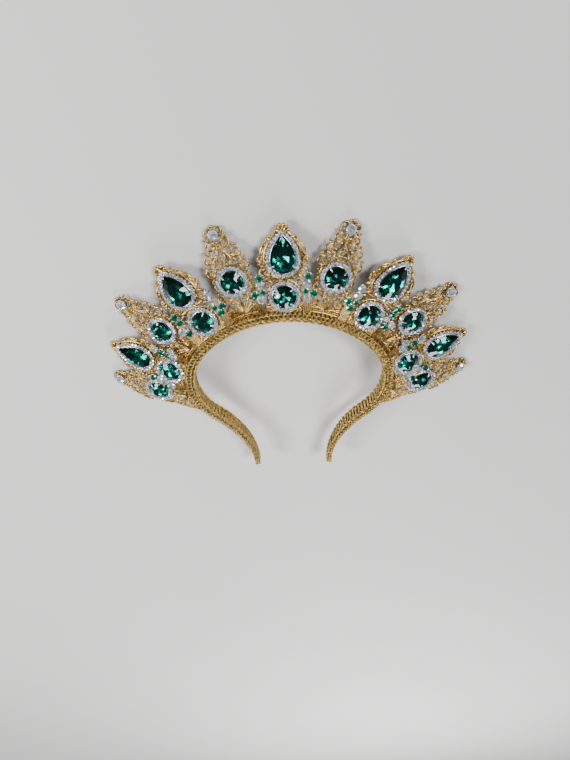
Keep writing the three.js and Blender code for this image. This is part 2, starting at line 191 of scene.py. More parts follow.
# Pear plate, right half: sheets, borders, scroll rings, and ribbed fans with their start, aim and spread
PEAR_SHEET = {"radius": 10.9, "point": 18.8, "round": 10.2}
PEAR_BORDER = {"radius": 11.1, "point": 19.2, "wire": 0.8}
PEAR_RIM = {"radius": 10.25, "wire": 0.65}
PEAR_RINGS = (
    {"across": 11.0, "along": 25.4, "radius": 3.0, "wire": 0.95},
    {"across": 9.4, "along": 18.6, "radius": 1.9, "wire": 0.7},
)
PEAR_FANS = (
    {"across": 0, "along": 48.8, "aim": 90, "spread": 132, "ribs": 6, "length": 6.1, "wire": 1.1},
    {"across": 5.4, "along": 44.2, "aim": 40, "spread": 96, "ribs": 4, "length": 4.9, "wire": 0.9},
    {"across": 8.2, "along": 4.4, "aim": -12, "spread": 100, "ribs": 4, "length": 4.3, "wire": 0.85},
)
FAN_STEPS = (
    {"share": 0.1, "thick": 0.45},
    {"share": 0.35, "thick": 0.7},
    {"share": 0.6, "thick": 0.92},
    {"share": 0.85, "thick": 1},
    {"share": 1, "thick": 0.6},
)
PEAR_SHOULDER = {"across": 12.8, "along": 34.0, "radius": 2.2, "wire": 1.0}
PEAR_ARCHES = (
    ((8.9, 43.9), (11.0, 42.2), (12.4, 39.8), (13.0, 37.2)),
    ((8.8, 42.4), (10.6, 40.4), (11.5, 38.0), (11.9, 35.8)),
)
PEAR_BEADS = ((9.9, 42.4), (11.5, 40.2), (12.3, 37.9), (14.7, 32.8), (14.2, 30.9), (12.6, 30.0))
PEAR_BAR = ((2.6, 22.0), (5.4, 21.9), (8.6, 21.9))
PEAR_LINK = ((2.4, 20.2), (1.9, 21.8), (2.4, 23.4))
PEAR_ROSETTE = (10.2, 25.2)
PEAR_EDGE = ((10.0, 8.0), (9.4, 14.0))
PEAR_FOOT_SCROLLS = ((6.2, 2.6), (2.9, 1.7))

# Wires and small stones over each seam; across counts towards the spike
SPRAY_WIRES = (-1.0, 0.12, 1.24, 2.36, 3.48)
SPRAY_WIRE = {"radius": 0.4, "level": 0.5, "foot": 0.4, "top": 22.6, "fall": 0.6}
SPRAY_BEND = {"shift": 0.1, "bow": 0.15, "gather": 0.9}
SPRAY_STONES = (
    {"across": 0.6, "along": 11.4, "size": 1.0},
    {"across": 3.5, "along": 15.0, "size": 1.0},
    {"across": -0.8, "along": 20.2, "size": 1.0},
    {"across": -1.0, "along": 25.0, "size": 1.0},
    {"across": -1.3, "along": 15.7, "size": 0.76},
)
SPRAY_GREEN = ("cgcgg", "ggccg", "gcggc", "ccgcg", "cgcgc")

# Camera of the photograph in the part's frame, and its focal length in pixels of a 570 by 760 image
CAMERA_PLACE = (0.0072, 0.26237, 0.30747)
CAMERA_RIGHT = (0.9991, -0.0431, 0.0065)
CAMERA_UP = (0.0357, 0.7257, -0.6871)
CAMERA_FOCAL = 590
IMAGE_LONG_SIDE = 760
SENSOR = 36


def length(name, description, millimetres):
    """A size that a user may change."""
    return FloatProperty(
        name=name,
        description=description,
        default=millimetres * MM,
        min=0,
        unit="LENGTH",
        subtype="DISTANCE",
    )


def colour(name, description, red, green, blue):
    """A colour that a user may change."""
    return FloatVectorProperty(
        name=name, description=description, default=(red, green, blue), min=0, max=1, subtype="COLOR"
    )


class TiaraSizes(bpy.types.PropertyGroup):
    """Sizes of the fine work."""

    cord_strand: length("Cord Strand", "Radius of one strand of the band's twisted cords", 0.64)
    cord_lay: length("Cord Lay", "Length in which a cord's strands go once round", 8.8)
    curl_pitch: length("Curl Pitch", "Step from one curl of the band's front to the next", 2.9)
    curl_length: length("Curl Length", "Width of a curl along the band", 2.4)
    curl_width: length("Curl Width", "Width of a curl across the band", 3.9)
    stitch_pitch: length("Stitch Pitch", "Step from one chain stitch to the next", 2.9)
    stitch_length: length("Stitch Length", "Length of a chain stitch", 2.0)
    stitch_width: length("Stitch Width", "Width of a chain stitch", 1.1)
    thread: length("Thread", "Radius of the thread of curls and stitches", 0.42)
    filigree_wire: length("Filigree Wire", "Radius of the wire of the spikes' loops", 0.7)
    lattice_wire: length("Lattice Wire", "Radius of the finer wires between the loops", 0.55)
    bead: length("Bead", "Radius of the beads along the plates' edges", 0.78)
    grain: length("Grain", "Radius of the grains of the small rosettes", 0.56)
    halo_stone: length("Halo Stone", "Radius of a halo's small stones", 1.14)
    halo_grain: length("Halo Grain", "Radius of the grains between a halo's stones", 0.3)
    round_halo_stones: IntProperty(
        name="Round Halo Stones", description="Small stones round a round stone", default=24, min=3
    )
    pear_halo_stones: IntProperty(
        name="Pear Halo Stones", description="Small stones round a pear stone", default=29, min=3
    )


class TiaraColours(bpy.types.PropertyGroup):
    """Colours of metal, thread, glass and floor."""

    gold: colour("Gold", "Bright gold of wires and beads", 0.68, 0.45, 0.155)
    # Painted shade: the sheets behind the wires get a darker gold than the wires.
    shaded_sheet_gold: colour("Old Gold", "Darker gold of the sheets behind them", 0.3, 0.19, 0.055)
    # Painted shade and tarnish: the dark colour of the metal's hollows and patches.
    tarnish_and_shade: colour("Tarnish", "Brown gold in the hollows between wires", 0.09, 0.05, 0.013)
    braid: colour("Braid", "Metal thread of the headband", 0.67, 0.445, 0.135)
    silver: colour("Silver", "Cups and claws of the stones", 0.84, 0.84, 0.9)
    crystal: colour("Crystal", "Clear foiled stones", 0.86, 0.9, 1.0)
    emerald: colour("Emerald", "Green glass of the main stones", 0.0, 0.28, 0.24)
    foil: colour("Foil", "Foil behind the green stones", 0.01, 0.8, 0.72)
    green: colour("Small Green", "Small green stones of the sprays", 0.0, 0.4, 0.2)
    floor: colour("Floor", "Plain pale floor", 0.88, 0.875, 0.86)


# Materials


def shader(name, base, metallic, roughness):
    """A material, its nodes, its links and its main shader."""
    material = bpy.data.materials.new(name)
    material.use_nodes = True
    nodes = material.node_tree.nodes
    main = nodes["Principled BSDF"]
    main.inputs["Base Color"].default_value = (*base, 1)
    main.inputs["Metallic"].default_value = metallic
    main.inputs["Roughness"].default_value = roughness
    return material, nodes, material.node_tree.links, main


def noise(nodes, links, scale, detail, vector):
    """A noise texture on the given coordinates."""
    texture = nodes.new("ShaderNodeTexNoise")
    texture.inputs["Scale"].default_value = scale
    texture.inputs["Detail"].default_value = detail
    links.new(vector, texture.inputs["Vector"])
    return texture.outputs["Fac"]


def ramp(nodes, links, value, stops):
    """A colour ramp through the given places and colours."""
    node = nodes.new("ShaderNodeValToRGB")
    elements = node.color_ramp.elements
    for element, (place, tint) in zip(elements, stops):
        element.position = place
        element.color = (*tint, 1)
    links.new(value, node.inputs["Fac"])
    return node.outputs["Color"]


def spread(nodes, links, value, low, high):
    """A value in the middle of its range, spread over another range."""
    node = nodes.new("ShaderNodeMapRange")
    node.inputs["From Min"].default_value = 0.3
    node.inputs["From Max"].default_value = 0.7
    node.inputs["To Min"].default_value = low
    node.inputs["To Max"].default_value = high
    links.new(value, node.inputs["Value"])
    return node.outputs["Result"]


def bump(nodes, links, main, height, distance, strength):
    """A bump on the main shader."""
    node = nodes.new("ShaderNodeBump")
    node.inputs["Strength"].default_value = strength
    node.inputs["Distance"].default_value = distance
    links.new(height, node.inputs["Height"])
    links.new(node.outputs["Normal"], main.inputs["Normal"])


def shade(tint, factor):
    return tuple(channel * factor for channel in tint)


def tarnished_shaded_metal(name, tint, hollow, roughness, grain):
    """Plated metal: tarnish in patches, painted shade in its hollows, and a fine uneven surface."""
    material, nodes, links, main = shader(name, tint, 1, roughness)
    place = nodes.new("ShaderNodeTexCoord").outputs["Object"]
    relief = nodes.new("ShaderNodeAttribute")
    relief.attribute_name = "relief"
    patches = noise(nodes, links, 260, 4, place)
    fine = noise(nodes, links, grain, 2, place)
    # Painted shade: low relief takes the dark hollow colour, and the noise adds patches of tarnish.
    patches_and_shade = nodes.new("ShaderNodeMath")
    links.new(patches, patches_and_shade.inputs[0])
    links.new(relief.outputs["Fac"], patches_and_shade.inputs[1])
    patchy_shaded_tint = ramp(nodes, links, patches_and_shade.outputs[0], ((0.5, hollow), (1, tint)))
    links.new(patchy_shaded_tint, main.inputs["Base Color"])
    links.new(spread(nodes, links, patches, roughness * 1.5, roughness * 0.8), main.inputs["Roughness"])
    bump(nodes, links, main, fine, 0.12 * MM, 0.5)
    return material


def thread_metal(name, tint):
    """Metal thread: fine filaments, with painted shade that darkens the hollows between the stitches."""
    material, nodes, links, main = shader(name, tint, 0.9, 0.3)
    place = nodes.new("ShaderNodeTexCoord").outputs["Object"]
    hollow = nodes.new("ShaderNodeAttribute")
    hollow.attribute_name = "hollow"
    patches = noise(nodes, links, 320, 3, place)
    filaments = noise(nodes, links, 2600, 2, place)
    # Painted shade: the lower side of each loop, marked hollow, goes dark; the noise adds patches of darker
    # tone.
    patches_and_shade = nodes.new("ShaderNodeMath")
    patches_and_shade.operation = "MULTIPLY_ADD"
    patches_and_shade.inputs[1].default_value = -0.55
    links.new(hollow.outputs["Fac"], patches_and_shade.inputs[0])
    links.new(patches, patches_and_shade.inputs[2])
    patchy_shaded_tint = ramp(nodes, links, patches_and_shade.outputs[0], ((0.05, shade(tint, 0.14)), (0.55, tint)))
    links.new(patchy_shaded_tint, main.inputs["Base Color"])
    links.new(spread(nodes, links, filaments, 0.42, 0.2), main.inputs["Roughness"])
    bump(nodes, links, main, filaments, 0.15 * MM, 0.6)
    return material


def wound_thread(name, tint):
    """Thread wound round the band, one turn beside the next, on the band's own map, in painted shade: dark
    like the shade under the stitches, darkest between the turns.
    """
    material, nodes, links, main = shader(name, shade(tint, 0.5), 0.85, 0.45)
    around = nodes.new("ShaderNodeUVMap")
    around.uv_map = "Wrap"
    turns = nodes.new("ShaderNodeTexWave")
    turns.inputs["Scale"].default_value = 500
    turns.inputs["Distortion"].default_value = 0.6
    links.new(around.outputs["UV"], turns.inputs["Vector"])
    # Painted shade: the core stays far darker than the braid, and the grooves between its turns go darkest.
    dark, light = shade(tint, 0.08), shade(tint, 0.35)
    tone = ramp(nodes, links, turns.outputs["Fac"], ((0.1, dark), (0.75, light)))
    links.new(tone, main.inputs["Base Color"])
    bump(nodes, links, main, turns.outputs["Fac"], 0.2 * MM, 0.8)
    return material


def foiled_glass(name, tint, metallic, scale):
    """Foiled stones: bright facets with random patches of painted shade, standing in for facets that catch
    less light.
    """
    material, nodes, links, main = shader(name, tint, metallic, 0.06)
    main.inputs["Coat Weight"].default_value = 1
    main.inputs["Coat Roughness"].default_value = 0.02
    place = nodes.new("ShaderNodeTexCoord").outputs["Object"]
    facet_shade_noise = noise(nodes, links, scale, 1, place)
    # Painted shade: where the noise is low, the facets' colour drops to under half.
    tone = ramp(nodes, links, facet_shade_noise, ((0.4, shade(tint, 0.45)), (0.52, tint)))
    links.new(tone, main.inputs["Base Color"])
    links.new(spread(nodes, links, facet_shade_noise, 0.16, 0.04), main.inputs["Roughness"])
    return material


def clear_green(name, tint):
    """Crown of a green stone: tinted glass with faint wipe marks."""
    material, nodes, links, main = shader(name, tint, 0, 0.02)
    main.inputs["Transmission Weight"].default_value = 1
    main.inputs["IOR"].default_value = 1.54
    place = nodes.new("ShaderNodeTexCoord").outputs["Object"]
    marks = noise(nodes, links, 260, 3, place)
    links.new(ramp(nodes, links, marks, ((0.3, shade(tint, 0.8)), (0.6, tint))), main.inputs["Base Color"])
    links.new(spread(nodes, links, marks, 0.05, 0.0), main.inputs["Roughness"])
    return material


def floor_paint(name, tint):
    """Matt floor with a barely uneven tone."""
    material, nodes, links, main = shader(name, tint, 0, 0.7)
    place = nodes.new("ShaderNodeTexCoord").outputs["Object"]
    tone = noise(nodes, links, 6, 3, place)
    links.new(ramp(nodes, links, tone, ((0.3, shade(tint, 0.97)), (0.7, tint))), main.inputs["Base Color"])
    return material


def finish_of(name):
    """A finish of the tiara, made when it is first asked for."""
    colours = bpy.context.scene.tiara_colours
    made = bpy.data.materials.get(name)
    if made:
        return made
    makers = {
        # The gold finishes paint shade into their hollows, with random patches of tarnish.
        "bright_gold": lambda: tarnished_shaded_metal(name, tuple(colours.gold), tuple(colours.tarnish_and_shade), 0.24, 1800),
        "shaded_sheet_gold": lambda: tarnished_shaded_metal(name, tuple(colours.shaded_sheet_gold), tuple(colours.tarnish_and_shade), 0.42, 1200),
        "braid_thread": lambda: thread_metal(name, tuple(colours.braid)),
        "braid_core": lambda: wound_thread(name, tuple(colours.braid)),
        # Silver cups and claws: painted shade in their hollows, the silver at three tenths.
        "silver_cup": lambda: tarnished_shaded_metal(name, tuple(colours.silver), shade(colours.silver, 0.3), 0.2, 1600),
        "cut_crystal": lambda: foiled_glass(name, tuple(colours.crystal), 0.62, 520),
        "cut_green": lambda: foiled_glass(name, tuple(colours.green), 0.85, 520),
        "green_glass": lambda: clear_green(name, tuple(colours.emerald)),
        "green_foil": lambda: foiled_glass(name, tuple(colours.foil), 1, 110),
        "floor_paint": lambda: floor_paint(name, tuple(colours.floor)),
    }
    return makers[name]()


# Geometry node trees


class Tree:
    """A geometry node tree that is being built."""

    def __init__(self, name, inputs):
        self.group = bpy.data.node_groups.new(name, "GeometryNodeTree")
        face = self.group.interface
        face.new_socket("Geometry", in_out="INPUT", socket_type="NodeSocketGeometry")
        for label, kind in inputs.items():
            face.new_socket(label, in_out="INPUT", socket_type="NodeSocket" + kind)
        face.new_socket("Geometry", in_out="OUTPUT", socket_type="NodeSocketGeometry")
        self.inputs = self.group.nodes.new("NodeGroupInput").outputs

    def add(self, kind, sockets, out=0, **settings):
        """A node with its settings, its sockets linked or set; gives one of its outputs."""
        node = self.group.nodes.new(kind)
        for setting, value in settings.items():
            setattr(node, setting, value)
        for key, value in sockets.items():
            socket = node.inputs[key]
            if isinstance(value, bpy.types.NodeSocket):
                self.group.links.new(value, socket)
            else:
                socket.default_value = value
        return node.outputs[out]

    def attribute(self, name, kind):
        return self.add("GeometryNodeInputNamedAttribute", {"Name": name}, data_type=kind)

    def joined(self, *parts):
        node = self.group.nodes.new("GeometryNodeJoinGeometry")
        for part in reversed(parts):
            self.group.links.new(part, node.inputs[0])
        return node.outputs[0]

    def close(self, geometry, smooth):
        """Real meshes in one material at the tree's end."""
        real = self.add("GeometryNodeRealizeInstances", {"Geometry": geometry})
        shaded = self.add("GeometryNodeSetShadeSmooth", {"Geometry": real, "Shade Smooth": smooth})
        finish = self.inputs["Material"]
        finished = self.add("GeometryNodeSetMaterial", {"Geometry": shaded, "Material": finish})
        out = self.group.nodes.new("NodeGroupOutput")
        self.group.links.new(finished, out.inputs[0])
        return self.group


def wire_tree():
    """Round wire along every line, as thick as each point says."""
    tree = Tree("Wire Work", {"Sides": "Int", "Material": "Material"})
    line = tree.add("GeometryNodeMeshToCurve", {"Mesh": tree.inputs["Geometry"]})
    curved = tree.add("GeometryNodeCurveSplineType", {"Curve": line}, spline_type="CATMULL_ROM")
    smooth = tree.add("GeometryNodeSetSplineResolution", {"Geometry": curved, "Resolution": 3})
    sides = tree.inputs["Sides"]
    section = tree.add("GeometryNodeCurvePrimitiveCircle", {"Resolution": sides, "Radius": 1.0})
    wire = tree.add(
        "GeometryNodeCurveToMesh",
        {
            "Curve": smooth,
            "Profile Curve": section,
            "Scale": tree.attribute("thickness", "FLOAT"),
            "Fill Caps": True,
        },
    )
    return tree.close(wire, True)


def grain_tree():
    """A round grain on every point, as large as the point says."""
    tree = Tree("Granulation", {"Material": "Material"})
    ball = tree.add("GeometryNodeMeshIcoSphere", {"Radius": 1.0, "Subdivisions": 2})
    grains = tree.add(
        "GeometryNodeInstanceOnPoints",
        {
            "Points": tree.inputs["Geometry"],
            "Instance": ball,
            "Scale": tree.attribute("thickness", "FLOAT"),
        },
    )
    return tree.close(grains, True)


def cord_tree():
    """Two strands twisted round each other along every line."""
    sizes = {"Strand": "Float", "Lay": "Float", "Step": "Float"}
    tree = Tree("Twisted Cord", {**sizes, "Material": "Material"})
    line = tree.add("GeometryNodeMeshToCurve", {"Mesh": tree.inputs["Geometry"]})
    even = tree.add(
        "GeometryNodeResampleCurve", {"Curve": line, "Length": tree.inputs["Step"]}, mode="LENGTH"
    )
    run = tree.add("GeometryNodeSplineParameter", {}, out="Length")
    turns = tree.add("ShaderNodeMath", {0: run, 1: tree.inputs["Lay"]}, operation="DIVIDE")
    tilt = tree.add("ShaderNodeMath", {0: turns, 1: math.tau}, operation="MULTIPLY")
    twisted = tree.add("GeometryNodeSetCurveTilt", {"Curve": even, "Tilt": tilt})
    radius = tree.inputs["Strand"]
    strand = tree.add("GeometryNodeCurvePrimitiveCircle", {"Resolution": 6, "Radius": radius})
    apart = tree.add("ShaderNodeCombineXYZ", {"X": radius})
    back = tree.add("ShaderNodeVectorMath", {0: apart, "Scale": -1.0}, operation="SCALE")
    first = tree.add("GeometryNodeTransform", {"Geometry": strand, "Translation": apart})
    second = tree.add("GeometryNodeTransform", {"Geometry": strand, "Translation": back})
    cord = tree.add(
        "GeometryNodeCurveToMesh",
        {
            "Curve": twisted,
            "Profile Curve": tree.joined(first, second),
            "Scale": tree.attribute("thickness", "FLOAT"),
            "Fill Caps": True,
        },
    )
    return tree.close(cord, True)


def facing_rotation(tree, least, most):
    """Turn of an instance: X along the line, Z the way its points face, then an uneven lean."""
    tangent = tree.add("GeometryNodeInputTangent", {})
    along = tree.add("FunctionNodeAlignRotationToVector", {"Vector": tangent}, axis="X")
    faced = tree.add(
        "FunctionNodeAlignRotationToVector",
        {"Rotation": along, "Vector": tree.attribute("facing", "FLOAT_VECTOR")},
        axis="Z",
        pivot_axis="X",
    )
    angles = tree.add(
        "FunctionNodeRandomValue", {"Min": least, "Max": most, "Seed": 5}, data_type="FLOAT_VECTOR"
    )
    lean = tree.add("FunctionNodeEulerToRotation", {"Euler": angles})
    return tree.add(
        "FunctionNodeRotateRotation", {"Rotation": faced, "Rotate By": lean}, rotation_space="LOCAL"
    )


def stitch_tree():
    """Rows of slanted oval stitches, each a loop of thread lying on the band."""
    sizes = {"Pitch": "Float", "Length": "Float", "Width": "Float", "Thread": "Float"}
    tree = Tree("Chain Stitch", {**sizes, "Material": "Material"})
    line = tree.add("GeometryNodeMeshToCurve", {"Mesh": tree.inputs["Geometry"]})
    even = tree.add(
        "GeometryNodeResampleCurve", {"Curve": line, "Length": tree.inputs["Pitch"]}, mode="LENGTH"
    )
    ring = tree.add("GeometryNodeCurvePrimitiveCircle", {"Resolution": 10, "Radius": 0.5})
    long, wide = tree.inputs["Length"], tree.inputs["Width"]
    shape = tree.add("ShaderNodeCombineXYZ", {"X": long, "Y": wide, "Z": 1.0})
    oval = tree.add("GeometryNodeTransform", {"Geometry": ring, "Scale": shape})
    thread = tree.inputs["Thread"]
    section = tree.add("GeometryNodeCurvePrimitiveCircle", {"Resolution": 5, "Radius": thread})
    loop = tree.add("GeometryNodeCurveToMesh", {"Curve": oval, "Profile Curve": section})
    # Painted shade: the loop's lower side, towards the band, is stored as hollow for the thread finish to
    # darken.
    place = tree.add("GeometryNodeInputPosition", {})
    height = tree.add("ShaderNodeSeparateXYZ", {"Vector": place}, out="Z")
    share = tree.add("ShaderNodeMath", {0: height, 1: thread}, operation="DIVIDE")
    depth = tree.add("ShaderNodeMapRange", {"Value": share, "From Min": 0.8, "From Max": -0.5})
    shade_marked_loop = tree.add(
        "GeometryNodeStoreNamedAttribute", {"Geometry": loop, "Name": "hollow", "Value": depth}
    )
    stitches = tree.add(
        "GeometryNodeInstanceOnPoints",
        {
            "Points": even,
            "Instance": shade_marked_loop,
            "Rotation": facing_rotation(tree, (-0.12, 0.02, 0.1), (0.12, 0.3, 0.65)),
            "Scale": tree.attribute("thickness", "FLOAT"),
        },
    )
    return tree.close(stitches, True)


def halo_tree(name, inputs, setting):
    """The same setting repeated round a closed line."""
    tree = Tree(name, {"Count": "Int", **inputs, "Material": "Material"})
    line = tree.add("GeometryNodeMeshToCurve", {"Mesh": tree.inputs["Geometry"]})
    count = tree.inputs["Count"]
    even = tree.add("GeometryNodeResampleCurve", {"Curve": line, "Count": count}, mode="COUNT")
    around = tree.add(
        "GeometryNodeInstanceOnPoints",
        {
            "Points": even,
            "Instance": setting(tree),
            "Rotation": facing_rotation(tree, (-0.06, -0.06, 0.3), (0.06, 0.06, 0.5)),
        },
    )
    return tree.close(around, False)


def lifted(tree, geometry, height):
    """A part raised by a height."""
    place = tree.add("ShaderNodeCombineXYZ", {"Z": height})
    return tree.add("GeometryNodeTransform", {"Geometry": geometry, "Translation": place})


def halo_stone_tree():
    """Small eight-sided stones with a table."""

    def setting(tree):
        radius, share = tree.inputs["Radius"], HALO_STONE["share"]
        table = tree.add("ShaderNodeMath", {0: radius, 1: share}, operation="MULTIPLY")
        crown = tree.add(
            "GeometryNodeMeshCone",
            {
                "Vertices": 8,
                "Radius Bottom": radius,
                "Radius Top": table,
                "Depth": tree.inputs["Crown"],
            },
            fill_type="NGON",
        )
        return lifted(tree, crown, tree.inputs["Level"])

    return halo_tree("Halo Stones", {"Radius": "Float", "Crown": "Float", "Level": "Float"}, setting)


def halo_cup_tree():
    """Eight-sided cups under the stones, with a grain on each side of every joint."""

    def setting(tree):
        cup = tree.add(
            "GeometryNodeMeshCylinder",
            {"Vertices": 8, "Radius": tree.inputs["Radius"], "Depth": tree.inputs["Cup"]},
            fill_type="NGON",
        )
        half = tree.add("ShaderNodeMath", {0: tree.inputs["Cup"], 1: 0.5}, operation="MULTIPLY")
        ball = tree.add("GeometryNodeMeshIcoSphere", {"Radius": tree.inputs["Grain"], "Subdivisions": 1})
        grains = []
        for turn in (0, 90, 180, 270):
            side = (*aim(turn), 0.0)
            reach = tree.add(
                "ShaderNodeVectorMath", {0: side, "Scale": tree.inputs["Radius"]}, operation="SCALE"
            )
            level = tree.add("ShaderNodeCombineXYZ", {"Z": tree.inputs["Cup"]})
            place = tree.add("ShaderNodeVectorMath", {0: reach, 1: level}, operation="ADD")
            grains.append(tree.add("GeometryNodeTransform", {"Geometry": ball, "Translation": place}))
        return tree.joined(lifted(tree, cup, half), *grains)

    return halo_tree("Halo Cups", {"Radius": "Float", "Cup": "Float", "Grain": "Float"}, setting)


TREE_MAKERS = {
    "Wire Work": wire_tree,
    "Granulation": grain_tree,
    "Twisted Cord": cord_tree,
    "Chain Stitch": stitch_tree,
    "Halo Stones": halo_stone_tree,
    "Halo Cups": halo_cup_tree,
}


def grown(name, lines, finish, **values):
    """Mesh that a tree grows on the given lines; each line is (points, thickness, closed, facing)."""
    host = bpy.data.meshes.new(name)
    points, edges, thickness, facing = [], [], [], []
    for line_points, line_thickness, closed, line_facing in lines:
        first, count = len(points), len(line_points)
        points.extend(line_points)
        thickness.extend(line_thickness)
        facing.extend(line_facing)
        edges.extend((first + i, first + i + 1) for i in range(count - 1))
        if closed:
            edges.append((first + count - 1, first))
    host.from_pydata([tuple(p) for p in points], edges, [])
    host.attributes.new("thickness", "FLOAT", "POINT").data.foreach_set("value", thickness)
    flat = [channel for vector in facing for channel in vector]
    host.attributes.new("facing", "FLOAT_VECTOR", "POINT").data.foreach_set("vector", flat)
    owner = bpy.data.objects.new(name, host)
    bpy.context.scene.collection.objects.link(owner)
    group = bpy.data.node_groups.get(name) or TREE_MAKERS[name]()
    modifier = owner.modifiers.new(name, "NODES")
    modifier.node_group = group
    values["Material"] = finish_of(finish)
    for item in group.interface.items_tree:
        if item.in_out == "INPUT" and item.name in values:
            modifier[item.identifier] = values[item.name]
    depsgraph = bpy.context.evaluated_depsgraph_get()
    mesh = bpy.data.meshes.new_from_object(owner.evaluated_get(depsgraph), depsgraph=depsgraph)
    mesh.materials.clear()
    mesh.materials.append(values["Material"])
    mesh.polygons.foreach_set("material_index", [0] * len(mesh.polygons))
    bpy.data.objects.remove(owner)
    bpy.data.meshes.remove(host)
    return mesh


# Meshes and pieces


def mesh_of(name, shape, finishes, smooth):
    """A plain mesh from an edited one, which is freed."""
    for face in shape.faces:
        face.smooth = smooth
    mesh = bpy.data.meshes.new(name)
    shape.to_mesh(mesh)
    shape.free()
    for finish in finishes:
        mesh.materials.append(finish_of(finish))
    return mesh


def fused(name, meshes):
    """One mesh of several, with their materials kept."""
    whole = bmesh.new()
    finishes = []
    for mesh in meshes:
        first = len(whole.faces)
        whole.from_mesh(mesh)
        whole.faces.ensure_lookup_table()
        slots = []
        for material in mesh.materials:
            if material.name not in finishes:
                finishes.append(material.name)
            slots.append(finishes.index(material.name))
        for face in whole.faces[first:]:
            face.material_index = slots[face.material_index]
        bpy.data.meshes.remove(mesh)
    mesh = bpy.data.meshes.new(name)
    whole.to_mesh(mesh)
    whole.free()
    for finish in finishes:
        mesh.materials.append(finish_of(finish))
    return mesh


def placed(mesh, matrix, low, high):
    """The mesh moved to its place, with each point's share of the relief stored for its finish, which paints
    shade in the low parts.
    """
    heights = np.empty(len(mesh.vertices) * 3)
    mesh.vertices.foreach_get("co", heights)
    relief = np.clip((heights[2::3] / MM - low) / (high - low), 0, 1)
    mesh.attributes.new("relief", "FLOAT", "POINT").data.foreach_set("value", relief)
    mesh.transform(matrix)
    return mesh


def piece(name, mesh, slot, *nodes):
    """A finished piece that rides on the tiara and stands for the named solids."""
    made = bpy.data.objects.new(name, mesh)
    bpy.context.scene.collection.objects.link(made)
    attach(made, BODY)
    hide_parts(*nodes)
    return made


def aim(degrees):
    return Vector((math.cos(math.radians(degrees)), math.sin(math.radians(degrees))))


def slab(outline, low, high, bevel, finish):
    """A sheet with eased edges, from its outline in millimetres."""
    shape = bmesh.new()
    corners = [shape.verts.new((x * MM, y * MM, low * MM)) for x, y in outline]
    face = shape.faces.new(corners)
    if face.normal.z > 0:
        face.normal_flip()
    raised = bmesh.ops.extrude_face_region(shape, geom=[face])
    moved = [item for item in raised["geom"] if isinstance(item, bmesh.types.BMVert)]
    bmesh.ops.translate(shape, verts=moved, vec=(0, 0, (high - low) * MM))
    bmesh.ops.recalc_face_normals(shape, faces=shape.faces)
    rims = [edge for edge in shape.edges if abs(edge.verts[0].co.z - edge.verts[1].co.z) < 1e-9]
    bmesh.ops.bevel(shape, geom=rims, offset=bevel * MM, segments=2, profile=0.5, affect="EDGES")
    return mesh_of("sheet", shape, [finish], False)


def pear_outline(radius, point, steps):
    """Pear round its round end's centre, point up: a half circle and two quadratic curves."""
    arc = [radius * aim(180 + 180 * i / steps) for i in range(steps)]
    handle, tip, side = Vector((radius * 0.98, point * 0.6)), Vector((0, point)), Vector((radius, 0))
    curve = []
    for i in range(steps):
        t = i / steps
        curve.append(side * (1 - t) ** 2 + 2 * t * (1 - t) * handle + t * t * tip)
    back = [Vector((-p.x, p.y)) for p in curve[:0:-1]]
    return arc + curve + [tip] + back


def circle_outline(radius, steps):
    return [radius * aim(360 * i / steps) for i in range(steps)]


def moved_outline(outline, across, along):
    return [(p[0] + across, p[1] + along) for p in outline]


# Cut stones


def gem(girdle, share, levels, finishes):
    """A cut stone: table, eight stars, eight kites, sixteen girdle facets and a pointed back."""
    shape = bmesh.new()
    culet_level, low, high, top = levels

    def ring(points, level):
        return [shape.verts.new((p.x * MM, p.y * MM, level * MM)) for p in points]

    middle = sum(girdle, Vector((0, 0))) / len(girdle)
    inwards = [middle + (p - middle) * share for p in girdle]
    shoulder = [middle + (p - middle) * (CUT["shoulder"] + (1 - CUT["shoulder"]) * share) for p in girdle]
    table = ring(inwards[0::2], top)
    kites = ring(shoulder[1::2], high + (top - high) * CUT["shoulder_level"])
    upper = ring(girdle, high)
    lower = ring(girdle, low)
    half = [middle + (p - middle) * CUT["belly"] for p in girdle]
    belly = ring(half[0::2], culet_level + (low - culet_level) * CUT["belly_level"])
    culet = shape.verts.new((middle.x * MM, middle.y * MM, culet_level * MM))
    count = len(table)
    crown, back = [shape.faces.new(table)], []
    for i in range(count):
        j, k = (i + 1) % count, 2 * i
        after, beyond = (k + 1) % (2 * count), (k + 2) % (2 * count)
        crown.append(shape.faces.new((table[i], kites[i], table[j])))
        crown.append(shape.faces.new((table[i], kites[i - 1], upper[k], kites[i])))
        crown.append(shape.faces.new((kites[i], upper[k], upper[after])))
        crown.append(shape.faces.new((kites[i], upper[after], upper[beyond])))
        for start, end in ((k, after), (after, beyond)):
            crown.append(shape.faces.new((upper[start], lower[start], lower[end], upper[end])))
        back.append(shape.faces.new((culet, belly[j], belly[i])))
        back.append(shape.faces.new((belly[i], lower[after], lower[k])))
        back.append(shape.faces.new((belly[i], belly[j], lower[after])))
        back.append(shape.faces.new((belly[j], lower[beyond], lower[after])))
    for face in back:
        face.material_index = len(finishes) - 1
    bmesh.ops.recalc_face_normals(shape, faces=shape.faces)
    return mesh_of("stone", shape, finishes, False)


def levels_of(row, base):
    return tuple(row[key] + base for key in ("culet", "low", "high", "table"))


def spaced(outline, count):
    """Points at even steps along a closed outline, the first one kept."""
    closed = [*outline, outline[0]]
    lengths = np.cumsum([0] + [(b - a).length for a, b in zip(closed, closed[1:])])
    targets = np.linspace(0, lengths[-1], count, endpoint=False)
    across = np.interp(targets, lengths, [p.x for p in closed])
    along = np.interp(targets, lengths, [p.y for p in closed])
    return [Vector(pair) for pair in zip(across, along)]


def round_girdle(radius):
    return circle_outline(radius, 16)


def pear_girdle():
    """Sixteen girdle points with one on the pear's point and one opposite."""
    outline = pear_outline(PEAR["radius"], PEAR["point"], 40)
    tip = outline.index(max(outline, key=lambda p: p.y))
    return spaced(outline[tip:] + outline[:tip], 16)


# Drawing on a plate


